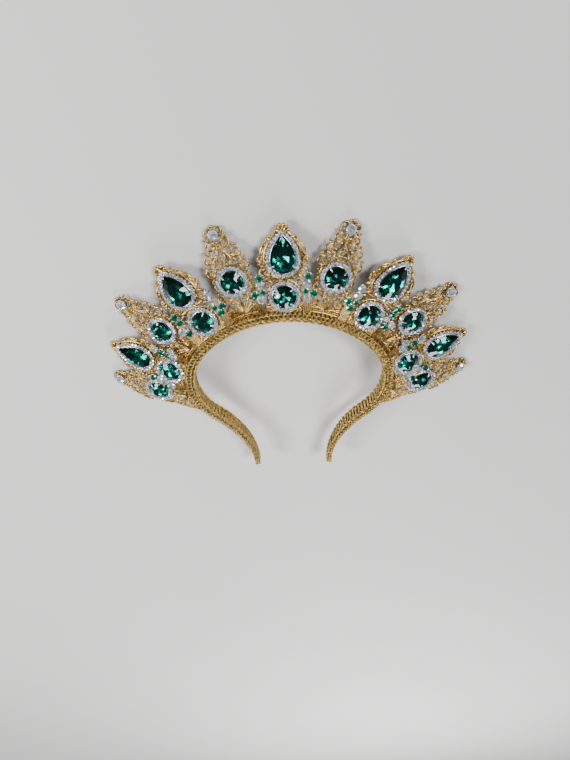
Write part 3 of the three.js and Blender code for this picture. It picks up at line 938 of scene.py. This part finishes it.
class Drawing:
    """Wires and grains on a plate, in millimetres across, along and above its front."""

    def __init__(self):
        self.wires = []
        self.grains = []

    def wire(self, points, radius, level=PLATE_MIDDLE, closed=False, twice=True):
        """A wire through the points; twice adds its mirror image."""
        radii = radius if isinstance(radius, list) else [radius] * len(points)
        for side in (1, -1) if twice else (1,):
            line = [(side * p[0] * MM, p[1] * MM, level * MM) for p in points]
            self.wires.append((line, [r * MM for r in radii], closed, [UP] * len(line)))

    def ring(self, across, along, radius, wire, level=PLATE_MIDDLE, twice=True):
        outline = moved_outline(circle_outline(radius, 8), across, along)
        self.wire(outline, wire, level, True, twice)

    def grain(self, across, along, radius, level=0.0, twice=True):
        for side in (1, -1) if twice and across else (1,):
            place = (side * across * MM, along * MM, level * MM)
            self.grains.append(([place], [radius * MM], False, [UP]))

    def rosette(self, across, along, radius, twice=True):
        """A ring of grains round a larger one."""
        self.grain(across, along, radius * ROSETTE["heart"], 0.15, twice)
        for i in range(ROSETTE["petals"]):
            turn = 360 * i / ROSETTE["petals"]
            place = Vector((across, along)) + ROSETTE["spread"] * radius * aim(turn)
            self.grain(place.x, place.y, radius, -0.1, twice)

    def scroll(self, row, wire, grain):
        """A round scroll whose end curls in to a rosette."""
        centre, inwards = Vector((row["across"], row["along"])), row["heart"]
        turns = range(0, 391, 39)
        shrink = [1 if turn < 300 else 1 - 0.004 * (turn - 300) for turn in turns]
        points = [centre + aim(inwards - 40 + t) * row["radius"] * s for t, s in zip(turns, shrink)]
        self.wire(points, [wire * (1 if s == 1 else s * 0.9) for s in shrink])
        heart = centre + 0.3 * row["radius"] * aim(inwards)
        self.rosette(heart.x, heart.y, grain * row["radius"] / SCROLL_RADIUS)

    def fan(self, row):
        """Ribs that spread from a root and swell towards their ends."""
        root = Vector((row["across"], row["along"]))
        for i in range(row["ribs"]):
            turn = row["aim"] + row["spread"] * (i / (row["ribs"] - 1) - 0.5)
            reach = row["length"] * (1 - 0.22 * abs(2 * i / (row["ribs"] - 1) - 1))
            points = [root + aim(turn) * reach * step["share"] for step in FAN_STEPS]
            radii = [row["wire"] * step["thick"] for step in FAN_STEPS]
            self.wire(points, radii, -0.15, twice=row["across"] != 0)

    def beads(self, points, pitch, radius, level=0.0, twice=True):
        """A row of grains at even steps along a line."""
        for start, end in zip(points, points[1:]):
            start, end = Vector(start), Vector(end)
            count = max(1, round((end - start).length / pitch))
            for i in range(count):
                place = start.lerp(end, i / count)
                self.grain(place.x, place.y, radius, level, twice)

    def meshes(self):
        """The wires and the grains as two meshes."""
        return [
            grown("Wire Work", self.wires, "bright_gold", Sides=7),
            grown("Granulation", self.grains, "bright_gold"),
        ]


def corners(node):
    """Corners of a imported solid, each once."""
    points = np.empty(len(frame["nodes"][node].data.vertices) * 3)
    frame["nodes"][node].data.vertices.foreach_get("co", points)
    return np.unique(points.reshape(-1, 3), axis=0)


class Plate:
    """One of the eleven plates: its kind, number and place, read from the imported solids."""

    def __init__(self, station):
        self.kind = "spike" if station % 2 == 0 else "pear"
        self.number = station // 2 + 1
        self.node = f"{self.kind}_plate_{self.number}"
        self.halo = f"round_halo_{station + 1}"
        self.stone = f"round_stone_{station + 1}"
        ring = corners(self.halo)
        normal = Vector(np.linalg.svd(ring - ring.mean(0))[2][2])
        normal = normal if normal.z > 0 else -normal
        near = self.lowest(self.stone, normal)
        far = f"tip_stone_{self.number}" if self.kind == "spike" else f"pear_stone_{self.number}"
        along = Vector(self.lowest(far, normal) if self.kind == "pear" else corners(far).mean(0)) - near
        along = (along - along.dot(normal) * normal).normalized()
        front = float((corners(self.node) @ np.array(normal)).max()) - near.dot(normal)
        origin = near + front * normal - ROUND_ALONG[self.kind] * MM * along
        across = along.cross(normal)
        self.matrix = Matrix((across, along, normal)).transposed().to_4x4()
        self.matrix.translation = origin

    @staticmethod
    def lowest(node, normal):
        points = corners(node)
        return Vector(points[(points @ np.array(normal)).argmin()])

    def foot(self, across):
        """Where the band's outer edge crosses the plate, in millimetres along it."""
        inverse = self.matrix.inverted()
        edge = [inverse @ place for place in band_line(BAND["thickness"] + GAP, 0)[0]]
        near = FOOT_SEARCH * MM
        edge = sorted((p.x / MM, p.y / MM) for p in edge if abs(p.x) < near and abs(p.y) < near)
        return float(np.interp(across, [p[0] for p in edge], [p[1] for p in edge]))


PLATES = []


def plates(kind=None):
    """The plates from left to right, read once."""
    if not PLATES:
        PLATES.extend(Plate(station) for station in range(11))
    return [plate for plate in PLATES if kind in (None, plate.kind)]


# Headband


def band_stops():
    """Places and outward normals along the band's inner edge, in millimetres, left end first."""
    place, heading = Vector((0, 0)), 90
    right = []
    for arc in BAND_ARCS:
        side = math.copysign(arc["radius"], arc["turn"])
        centre = place - side * aim(heading)
        steps = round(abs(arc["turn"]) / BAND_STEP)
        for i in range(steps):
            normal = aim(heading - arc["turn"] * i / steps)
            right.append((centre + side * normal, normal))
        heading -= arc["turn"]
        place = centre + side * aim(heading)
    right.append((place, aim(heading)))
    left = [(Vector((-p.x, p.y)), Vector((-n.x, n.y))) for p, n in right[:0:-1]]
    return left + right


BAND_STOPS = band_stops()
BAND_END = BAND_STOPS[0][0].y


def band_scale(height):
    """Share of the full section at a height above the band's ends."""
    share = min(1, max(0, height / BAND["taper_height"]))
    smooth = share * share * (3 - 2 * share)
    return BAND["end_scale"] + (1 - BAND["end_scale"]) * smooth


def band_place(stop, outwards, forwards):
    place, normal = stop
    scale = band_scale(place.y - BAND_END)
    flat = place + normal * outwards * scale
    return BAND_TOP + Vector((flat.x, flat.y, forwards * scale)) * MM


def band_line(outwards, forwards, size=1, out=0, front=1):
    """A line along the band for a tree to grow on."""
    points = [band_place(stop, outwards, forwards) for stop in BAND_STOPS]
    sizes = [size * band_scale(place.y - BAND_END) for place, _ in BAND_STOPS]
    facing = [Vector((normal.x * out, normal.y * out, front)) for _, normal in BAND_STOPS]
    return points, sizes, False, facing


def band_section(inset):
    """The band's rounded section: outwards and forwards, in millimetres."""
    wide, deep = BAND["thickness"] - 2 * inset, BAND["depth"] - 2 * inset
    radius = min(BAND["corner"], wide / 2)
    section = []
    for quarter, (x, y) in enumerate(((1, 1), (-1, 1), (-1, -1), (1, -1))):
        centre = Vector((x * (wide / 2 - radius), y * (deep / 2 - radius)))
        for i in range(5):
            section.append(centre + radius * aim(90 * quarter + 22.5 * i))
    return [p + Vector((BAND["thickness"] / 2, 0)) for p in section]


def band_core():
    """The padded band under the braid, lofted through its sections."""
    shape = bmesh.new()
    wrap = shape.loops.layers.uv.new("Wrap")
    section = band_section(BAND_CORE_INSET)
    rings, run, last = [], [], None
    for stop in BAND_STOPS:
        rings.append([shape.verts.new(band_place(stop, p.x, p.y)) for p in section])
        run.append(run[-1] + (stop[0] - last).length * MM if run else 0)
        last = stop[0]
    count = len(section)
    for k in range(len(rings) - 1):
        for i in range(count):
            j = (i + 1) % count
            face = shape.faces.new((rings[k][i], rings[k][j], rings[k + 1][j], rings[k + 1][i]))
            spots = ((k, i), (k, i + 1), (k + 1, i + 1), (k + 1, i))
            for loop, (step, turn) in zip(face.loops, spots):
                loop[wrap].uv = (run[step], turn * MM)
    shape.faces.new(rings[0])
    shape.faces.new(rings[-1][::-1])
    bmesh.ops.recalc_face_normals(shape, faces=shape.faces)
    return mesh_of("band_core", shape, ["braid_core"], True)


def band_bindings():
    """Turns of thread round the band's two ends and over their faces."""
    lines = []
    row = BAND_BINDING
    turns = [(0, inset) for inset in BAND_FACE_INSETS]
    turns += [((turn + 0.5) * row["pitch"], row["inset"]) for turn in range(row["turns"])]
    for stops in (BAND_STOPS, BAND_STOPS[::-1]):
        for share, inset in turns:
            first = int(share)
            stop = tuple(a.lerp(b, share - first) for a, b in zip(stops[first], stops[first + 1]))
            points = [band_place(stop, p.x, p.y) for p in band_section(inset)]
            lines.append((points, [row["radius"] * MM] * len(points), True, [UP] * len(points)))
    return grown("Wire Work", lines, "braid_thread", Sides=6)


class TIARA_OT_band(bpy.types.Operator):
    """Make the padded headband, its twisted cords and its rows of chain stitch"""

    bl_idname = "tiara.band"
    bl_label = "Headband"

    def execute(self, context):
        sizes = context.scene.tiara_sizes
        cords = [band_line(**row) for row in BAND_CORDS]
        cord = grown(
            "Twisted Cord",
            cords,
            "braid_thread",
            Strand=sizes.cord_strand,
            Lay=sizes.cord_lay,
            Step=sizes.cord_lay / 10,
        )
        curls = grown(
            "Chain Stitch",
            [band_line(**row) for row in BAND_CURLS],
            "braid_thread",
            Pitch=sizes.curl_pitch,
            Length=sizes.curl_length,
            Width=sizes.curl_width,
            Thread=sizes.thread * 1.15,
        )
        stitches = grown(
            "Chain Stitch",
            [band_line(**row) for row in BAND_STITCHES],
            "braid_thread",
            Pitch=sizes.stitch_pitch,
            Length=sizes.stitch_length,
            Width=sizes.stitch_width,
            Thread=sizes.thread * 1.3,
        )
        piece("band_padding", fused("band_padding", [band_core(), band_bindings()]), "gold_braid", "band")
        piece("band_cords", cord, "gold_braid", "band")
        piece("band_curls", curls, "gold_braid", "band")
        piece("band_stitches", stitches, "gold_braid", "band")
        return {"FINISHED"}


# Plates


def foot_steps(half):
    return [half * (i / 8 - 1) for i in range(17)]


def foot_sheet(plate):
    """Sheet along the band at a plate's foot, highest in the middle, in the darker gold that paints the
    shade behind the wires.
    """
    half, rise = FOOT[plate.kind]["half"], FOOT[plate.kind]["rise"]
    steps = foot_steps(half)
    lower = [(x, plate.foot(x) + 0.3) for x in steps]
    upper = [(x, plate.foot(x) + rise * (1 - 0.35 * (x / half) ** 2)) for x in reversed(steps)]
    return slab(lower + upper, PLATE_BACK, -0.5, 0.2, "shaded_sheet_gold")


def draw_foot(drawing, plate, sizes):
    """Two rails along the band with a row of beads between them; gives the upper rail."""
    steps = foot_steps(FOOT[plate.kind]["half"])
    lattice, bead = sizes.lattice_wire / MM, sizes.bead / MM
    rises = (FOOT_RAIL, FOOT_BEADS, FOOT_TOP)
    rail, row, upper = ([(x, plate.foot(x) + rise) for x in steps] for rise in rises)
    drawing.wire(rail, lattice * 1.2, -0.3, twice=False)
    drawing.wire(upper, lattice, -0.3, twice=False)
    drawing.beads(row, bead * 1.9, bead * 0.95, -0.2, twice=False)
    return upper


def draw_corners(drawing, plate, root, sizes):
    """Rings with a rosette where the band falls away below a spike's lowest rays."""
    lattice, grain = sizes.lattice_wire / MM, sizes.grain / MM
    slope = math.tan(math.radians(SPIKE_RAYS[-1]["turn"]))
    for side in (1, -1):
        for across in SPIKE_CORNERS:
            low, high = plate.foot(side * across) + FOOT_TOP, root.y + across * slope
            radius = (high - low) / 2
            if radius > SPIKE_CORNER_LEAST:
                drawing.ring(side * across, low + radius, radius, lattice, twice=False)
                drawing.rosette(side * across, low + radius, grain * radius / SCROLL_RADIUS, twice=False)


def spike_drawing(plate, sizes):
    """Scrolls, rosettes, lattice and rays of a spike."""
    drawing = Drawing()
    wire, lattice = sizes.filigree_wire / MM, sizes.lattice_wire / MM
    bead, grain = sizes.bead / MM, sizes.grain / MM
    for row in SPIKE_SCROLLS:
        drawing.scroll(row, wire, grain)
    row = SPIKE_TIP_RING
    drawing.ring(row["across"], row["along"], row["radius"], wire * 0.95)
    for row in SPIKE_TRIOS:
        for turn in TRIO["turns"]:
            place = Vector((row["across"], row["along"])) + TRIO["radius"] * aim(turn)
            drawing.grain(place.x, place.y, bead, -0.4)
    for line in SPIKE_WIRES:
        drawing.wire(line, lattice)
    for across, along in SPIKE_TEARS:
        drawing.ring(across, along, SPIKE_SMALL_RING, lattice * 0.9)
    for place in SPIKE_KNOTS:
        drawing.grain(*place, bead, -0.1)
    drawing.beads(SPIKE_SPINE, 1.75, bead * 0.95, -0.1, twice=False)
    for row in SPIKE_CROWN:
        drawing.grain(row["across"], row["along"], bead * row["size"], -0.4)
    upper = draw_foot(drawing, plate, sizes)
    for side, start in ((1, upper[-1]), (-1, upper[0])):
        drawing.wire([start, *[(side * x, y) for x, y in SPIKE_EDGE]], lattice, twice=False)
        first = Vector((side * SPIKE_EDGE[0][0], SPIKE_EDGE[0][1]))
        drawing.beads([start, first], bead * 2.2, bead * 0.9, -0.2, twice=False)
    for across, along in SPIKE_EDGE_RINGS:
        drawing.ring(across, along, SPIKE_SMALL_RING, lattice)
        drawing.grain(across, along + 1.7, bead * 0.8, -0.2)
    root = Vector((0, plate.foot(0) + 2.6))
    for row in SPIKE_RAYS:
        points = []
        for step in SPIKE_RAY_STEPS:
            place = root + aim(row["turn"]) * row["length"] * step["share"]
            points.append(Vector((place.x * step["bend"], place.y)))
        drawing.wire(points, [lattice * step["thick"] for step in SPIKE_RAY_STEPS], -0.25)
        drawing.grain(points[2].x, points[2].y, bead * 0.9, 0.25)
        drawing.grain(points[3].x, points[3].y, bead, 0.0)
    for row in SPIKE_FOOT_SCROLLS:
        drawing.scroll(row, lattice * 1.1, grain)
    draw_corners(drawing, plate, root, sizes)
    return drawing


def pear_drawing(plate, sizes):
    """Borders, ribbed fans and scrolls of a pear plate."""
    drawing = Drawing()
    wire, lattice = sizes.filigree_wire / MM, sizes.lattice_wire / MM
    bead, grain = sizes.bead / MM, sizes.grain / MM
    border = moved_outline(pear_outline(PEAR_BORDER["radius"], PEAR_BORDER["point"], 14), 0, PEAR_ALONG)
    drawing.wire(border, PEAR_BORDER["wire"], -0.1, True, twice=False)
    rim = moved_outline(circle_outline(PEAR_RIM["radius"], 16), 0, ROUND_ALONG["pear"])
    drawing.wire(rim, PEAR_RIM["wire"], -0.2, True, twice=False)
    for row in PEAR_FANS:
        drawing.fan(row)
    for row in PEAR_RINGS:
        drawing.ring(row["across"], row["along"], row["radius"], row["wire"])
    row = PEAR_SHOULDER
    scroll = [
        Vector((row["across"], row["along"])) + aim(250 + 30 * i) * row["radius"] * (1 - 0.06 * i)
        for i in range(11)
    ]
    drawing.wire(scroll, [row["wire"] * (1 - 0.04 * i) for i in range(11)], -0.4)
    drawing.grain(row["across"], row["along"], bead * 1.2, -0.2)
    for arch in PEAR_ARCHES:
        drawing.wire(arch, [wire * size for size in (0.9, 1.3, 1.4, 1.1)], -0.3)
    for place in PEAR_BEADS:
        drawing.grain(*place, bead * 1.15, -0.1)
    drawing.wire(PEAR_BAR, [1.0, 0.9, 0.8], -0.3)
    drawing.wire(PEAR_LINK, 0.8, -0.3)
    drawing.rosette(*PEAR_ROSETTE, grain)
    upper = draw_foot(drawing, plate, sizes)
    for side, start in ((1, upper[-1]), (-1, upper[0])):
        drawing.wire([start, *[(side * x, y) for x, y in PEAR_EDGE]], wire, twice=False)
    for across, along in PEAR_FOOT_SCROLLS:
        drawing.ring(across, along, 1.35, lattice)
        drawing.grain(across, along, bead * 0.9, 0.0)
    return drawing


class TIARA_OT_spikes(bpy.types.Operator):
    """Make the filigree of the six spikes"""

    bl_idname = "tiara.spikes"
    bl_label = "Spikes"

    def execute(self, context):
        sizes = context.scene.tiara_sizes
        for plate in plates("spike"):
            disc = moved_outline(circle_outline(SPIKE_BACK, 40), 0, ROUND_ALONG["spike"])
            # The back sheets take the darker gold that paints the shade behind the wires.
            back = slab(disc, PLATE_BACK, 0, PLATE_EASE, "shaded_sheet_gold")
            disc = moved_outline(circle_outline(SPIKE_SEAT, 20), 0, TIP["along"])
            seat = slab(disc, -1.1, 0, 0.2, "shaded_sheet_gold")
            work = fused("spike", [back, seat, foot_sheet(plate), *spike_drawing(plate, sizes).meshes()])
            work = placed(work, plate.matrix, *RELIEF["plate"])
            piece(f"spike_filigree_{plate.number}", work, "gold_filigree", plate.node)
        return {"FINISHED"}


class TIARA_OT_pears(bpy.types.Operator):
    """Make the cast work of the five pear plates"""

    bl_idname = "tiara.pears"
    bl_label = "Pear Plates"

    def execute(self, context):
        sizes = context.scene.tiara_sizes
        for plate in plates("pear"):
            pear = moved_outline(pear_outline(PEAR_SHEET["radius"], PEAR_SHEET["point"], 14), 0, PEAR_ALONG)
            # The back sheets take the darker gold that paints the shade behind the wires.
            top = slab(pear, PLATE_BACK, -0.1, PLATE_EASE, "shaded_sheet_gold")
            disc = moved_outline(circle_outline(PEAR_SHEET["round"], 40), 0, ROUND_ALONG["pear"])
            low = slab(disc, -1.15, -0.05, PLATE_EASE, "shaded_sheet_gold")
            work = fused("pear", [top, low, foot_sheet(plate), *pear_drawing(plate, sizes).meshes()])
            work = placed(work, plate.matrix, *RELIEF["plate"])
            piece(f"pear_castwork_{plate.number}", work, "gold_filigree", plate.node)
        return {"FINISHED"}


# Halos and stones


def halo_meshes(outline, count, sizes):
    """Small stones in their cups round an outline, on a plate's front."""
    points = [Vector((p[0], p[1], 0)) * MM for p in outline]
    line = (points, [1] * len(points), True, [UP] * len(points))
    base = (GAP + HALO_STONE["floor"]) * MM
    cup, crown = HALO_STONE["cup"] * MM, HALO_STONE["crown"] * MM
    stones = grown(
        "Halo Stones",
        [line],
        "cut_crystal",
        Count=count,
        Radius=sizes.halo_stone,
        Crown=crown,
        Level=base + cup,
    )
    cups = grown(
        "Halo Cups",
        [line],
        "silver_cup",
        Count=count,
        Radius=sizes.halo_stone * 1.04,
        Cup=cup + base,
        Grain=sizes.halo_grain,
    )
    return [stones, cups]


def collet_meshes(outline, feet):
    """Silver rim round a main stone and its claws; each foot is (place, outward direction)."""
    rim = [Vector((*point, COLLET["level"])) * MM for point in outline]
    wires = [(rim, [COLLET["radius"] * MM] * len(rim), True, [UP] * len(rim))]
    ends = []
    for place, out in feet:
        base = GAP + HALO_STONE["cup"]
        bend = base + CLAW["post"]
        route = ((CLAW["foot"], base), (CLAW["knee"], bend), (-CLAW["reach"], bend + CLAW["rise"]))
        line = [Vector((*(place + out * reach), level)) * MM for reach, level in route]
        wires.append((line, [CLAW["radius"] * MM] * 3, False, [UP] * 3))
        ends.append(([line[-1]], [CLAW["radius"] * CLAW["end"] * MM], False, [UP]))
    return [grown("Wire Work", wires, "silver_cup", Sides=6), grown("Granulation", ends, "silver_cup")]


class TIARA_OT_halos(bpy.types.Operator):
    """Make the halos of small clear stones and the claws of the main stones"""

    bl_idname = "tiara.halos"
    bl_label = "Halos"

    def execute(self, context):
        sizes = context.scene.tiara_sizes
        for plate in plates():
            along = ROUND_ALONG[plate.kind]
            outline = moved_outline(circle_outline(HALO["round"], 60), 0, along)
            feet = [(Vector((0, along)) + aim(turn) * ROUND["radius"], aim(turn)) for turn in ROUND_CLAWS]
            rim = moved_outline(circle_outline(ROUND["radius"] + COLLET["out"], 16), 0, along)
            meshes = halo_meshes(outline, sizes.round_halo_stones, sizes) + collet_meshes(rim, feet)
            halo = placed(fused("halo", meshes), plate.matrix, *RELIEF["halo"])
            piece(plate.halo + "_setting", halo, "clear_crystal", plate.halo)
        for plate in plates("pear"):
            outline = pear_outline(HALO["pear"], HALO["pear_point"], 30)
            feet = []
            for turn in PEAR_CLAWS:
                edge = max(pear_outline(PEAR["radius"], PEAR["point"], 60), key=aim(turn).dot)
                feet.append((edge + Vector((0, PEAR_ALONG)), aim(turn)))
            rim = pear_outline(PEAR["radius"] + COLLET["out"], PEAR["point"] + 1.4 * COLLET["out"], 14)
            meshes = halo_meshes(moved_outline(outline, 0, PEAR_ALONG), sizes.pear_halo_stones, sizes)
            meshes += collet_meshes(moved_outline(rim, 0, PEAR_ALONG), feet)
            halo = placed(fused("halo", meshes), plate.matrix, *RELIEF["halo"])
            node = f"pear_halo_{plate.number}"
            piece(node + "_setting", halo, "clear_crystal", node)
        return {"FINISHED"}


class TIARA_OT_stones(bpy.types.Operator):
    """Cut the green round and pear stones"""

    bl_idname = "tiara.stones"
    bl_label = "Green Stones"

    def execute(self, context):
        finishes = ["green_glass", "green_foil"]
        for plate in plates():
            girdle = moved_girdle(round_girdle(ROUND["radius"]), ROUND_ALONG[plate.kind])
            stone = gem(girdle, ROUND["share"], levels_of(ROUND, GAP), finishes)
            stone = placed(stone, plate.matrix, *RELIEF["stone"])
            piece(plate.stone + "_cut", stone, "emerald_glass", plate.stone)
        for plate in plates("pear"):
            girdle = moved_girdle(pear_girdle(), PEAR_ALONG)
            stone = gem(girdle, PEAR["share"], levels_of(PEAR, GAP), finishes)
            node = f"pear_stone_{plate.number}"
            piece(node + "_cut", placed(stone, plate.matrix, *RELIEF["stone"]), "emerald_glass", node)
        return {"FINISHED"}


def moved_girdle(girdle, along):
    return [p + Vector((0, along)) for p in girdle]


def chaton(across, along, size, row, finish, base):
    """A small stone in a cup with four claws."""
    radius = row["radius"] * size
    girdle = [p + Vector((across, along)) for p in round_girdle(radius)]
    levels = [base + (level - base) * size for level in levels_of(row, base)]
    stone = gem(girdle, row["share"], levels, [finish])
    cup_outline = moved_outline(circle_outline(radius * CHATON_CUP, 16), across, along)
    cup = slab(cup_outline, base + 0.05, levels[1], 0.15, "silver_cup")
    claw, wires = CHATON_CLAW, []
    bottom, middle, top = base + 0.1, levels[2], levels[3] - claw["drop"] * size
    route = ((claw["foot"], bottom), (claw["knee"], middle), (claw["end"], top))
    for turn in ROUND_CLAWS:
        line = [Vector((*(Vector((across, along)) + aim(turn) * radius * r), z)) * MM for r, z in route]
        wires.append((line, [claw["radius"] * size * MM] * 3, False, [UP] * 3))
    return [stone, cup, grown("Wire Work", wires, "silver_cup", Sides=5)]


class TIARA_OT_tips(bpy.types.Operator):
    """Set the clear stones at the spikes' tips"""

    bl_idname = "tiara.tips"
    bl_label = "Tip Stones"

    def execute(self, context):
        for plate in plates("spike"):
            stone = fused("tip", chaton(0, TIP["along"], 1, TIP, "cut_crystal", GAP))
            node = f"tip_stone_{plate.number}"
            piece(node + "_set", placed(stone, plate.matrix, *RELIEF["tip"]), "clear_crystal", node)
        return {"FINISHED"}


def seam_place(pear, spike):
    """Place of a spray on the pear plate's front, over the seam to a spike."""
    local = pear.matrix.inverted() @ spike.matrix
    middle = local.translation / 2
    heading = local.to_3x3() @ Vector((0, 1, 0))
    turn = math.atan2(-heading.x, heading.y) / 2
    return Matrix.Translation((middle.x, middle.y, 0)) @ Matrix.Rotation(turn, 4, "Z")


def spray_wires(side, place, pear):
    """Parallel wires from the band up behind the small stones."""
    lines, bend = [], SPRAY_BEND
    foot = place.inverted() @ Vector((place.translation.x, pear.foot(place.translation.x / MM) * MM, 0))
    start = foot.y / MM + SPRAY_WIRE["foot"]
    level = GAP + SPRAY_WIRE["level"]
    for i, across in enumerate(SPRAY_WIRES):
        x = side * (across - bend["shift"])
        top = SPRAY_WIRE["top"] - SPRAY_WIRE["fall"] * (i - 2) ** 2
        crest = ((start + top) / 2, level + bend["bow"])
        route = [(x, start, level), (x, *crest), (x * bend["gather"], top, level)]
        line = [Vector(p) * MM for p in route]
        lines.append((line, [SPRAY_WIRE["radius"] * MM] * 3, False, [UP] * 3))
    return grown("Wire Work", lines, "bright_gold", Sides=8)


class TIARA_OT_sprays(bpy.types.Operator):
    """Make the wires and small stones over the seams"""

    bl_idname = "tiara.sprays"
    bl_label = "Sprays"

    def execute(self, context):
        stations = plates()
        for seam in range(10):
            pair = stations[seam : seam + 2]
            pear = next(plate for plate in pair if plate.kind == "pear")
            spike = next(plate for plate in pair if plate.kind == "spike")
            side = 1 if spike is pair[1] else -1
            place = seam_place(pear, spike)
            colours = SPRAY_GREEN[seam - 5 if seam > 4 else 4 - seam]
            meshes = [spray_wires(side, place, pear)]
            for row, letter in zip(SPRAY_STONES, colours):
                finish = "cut_green" if letter == "g" else "cut_crystal"
                meshes += chaton(side * row["across"], row["along"], row["size"], CHATON, finish, GAP)
            node = f"chaton_spray_{seam + 1}"
            spray = placed(fused("spray", meshes), pear.matrix @ place, *RELIEF["spray"])
            piece(node + "_set", spray, "clear_crystal", node)
        return {"FINISHED"}


# Stage


FLOOR_HALF = 6
LIGHTS = (
    {"name": "key", "kind": "SUN", "place": (0.5, 0.55, 0.85), "spread": 0.34, "power": 2.5},
    {"name": "fill", "kind": "AREA", "place": (-0.8, 0.2, 0.65), "spread": 0.36, "power": 8},
    {"name": "low", "kind": "AREA", "place": (0.15, -0.9, 0.5), "spread": 0.36, "power": 6},
)
SKY = {"horizon": (0.62, 0.62, 0.62), "overhead": (0.09, 0.092, 0.097), "rise": 0.4}


def studio_sky():
    """A world that is pale low down and dim overhead."""
    world = bpy.data.worlds.new("studio")
    world.use_nodes = True
    nodes, links = world.node_tree.nodes, world.node_tree.links
    around = nodes.new("ShaderNodeTexCoord")
    parts = nodes.new("ShaderNodeSeparateXYZ")
    links.new(around.outputs["Generated"], parts.inputs[0])
    tone = ramp(nodes, links, parts.outputs["Z"], ((0, SKY["horizon"]), (SKY["rise"], SKY["overhead"])))
    links.new(tone, nodes["Background"].inputs["Color"])
    return world


class TIARA_OT_stage(bpy.types.Operator):
    """Lay the floor and place the lights and the camera"""

    bl_idname = "tiara.stage"
    bl_label = "Stage"

    def execute(self, context):
        scene = context.scene
        shape = bmesh.new()
        bmesh.ops.create_grid(shape, x_segments=1, y_segments=1, size=FLOOR_HALF)
        floor = bpy.data.objects.new("floor", mesh_of("floor", shape, ["floor_paint"], False))
        scene.collection.objects.link(floor)
        for row in LIGHTS:
            light = bpy.data.lights.new(row["name"], row["kind"])
            setattr(light, "angle" if row["kind"] == "SUN" else "size", row["spread"])
            light.energy = row["power"]
            lamp = bpy.data.objects.new(row["name"], light)
            lamp.location = row["place"]
            lamp.rotation_euler = (-Vector(row["place"])).to_track_quat("-Z", "Y").to_euler()
            scene.collection.objects.link(lamp)
        scene.world = studio_sky()
        lens = bpy.data.cameras.new("camera")
        lens.lens = SENSOR * CAMERA_FOCAL / IMAGE_LONG_SIDE
        lens.sensor_width = SENSOR
        lens.clip_start = 0.01
        camera = bpy.data.objects.new("camera", lens)
        right, up = Vector(CAMERA_RIGHT).normalized(), Vector(CAMERA_UP).normalized()
        turned = Matrix((right, up, right.cross(up))).transposed().to_4x4()
        turned.translation = CAMERA_PLACE
        camera.matrix_world = turned
        scene.collection.objects.link(camera)
        scene.camera = camera
        return {"FINISHED"}


class TIARA_PT_panel(bpy.types.Panel):
    """Sizes, colours and pieces of the tiara"""

    bl_idname = "TIARA_PT_panel"
    bl_label = "Rhinestone Tiara"
    bl_space_type = "VIEW_3D"
    bl_region_type = "UI"
    bl_category = "Tiara"

    def draw(self, context):
        for maker in OPERATORS:
            self.layout.operator(maker.bl_idname)
        for group in (context.scene.tiara_sizes, context.scene.tiara_colours):
            for name in group.__annotations__:
                self.layout.prop(group, name)


OPERATORS = (
    TIARA_OT_stage,
    TIARA_OT_band,
    TIARA_OT_spikes,
    TIARA_OT_pears,
    TIARA_OT_halos,
    TIARA_OT_stones,
    TIARA_OT_tips,
    TIARA_OT_sprays,
)
CLASSES = (TiaraSizes, TiaraColours, *OPERATORS, TIARA_PT_panel)


def register():
    for kind in CLASSES:
        bpy.utils.register_class(kind)
    bpy.types.Scene.tiara_sizes = PointerProperty(type=TiaraSizes)
    bpy.types.Scene.tiara_colours = PointerProperty(type=TiaraColours)


def unregister():
    del bpy.types.Scene.tiara_colours
    del bpy.types.Scene.tiara_sizes
    for kind in reversed(CLASSES):
        bpy.utils.unregister_class(kind)


def main():
    register()
    for name in ("stage", "band", "spikes", "pears", "halos", "stones", "tips", "sprays"):
        getattr(bpy.ops.tiara, name)()
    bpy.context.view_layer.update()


if __name__ == "__main__":
    main()
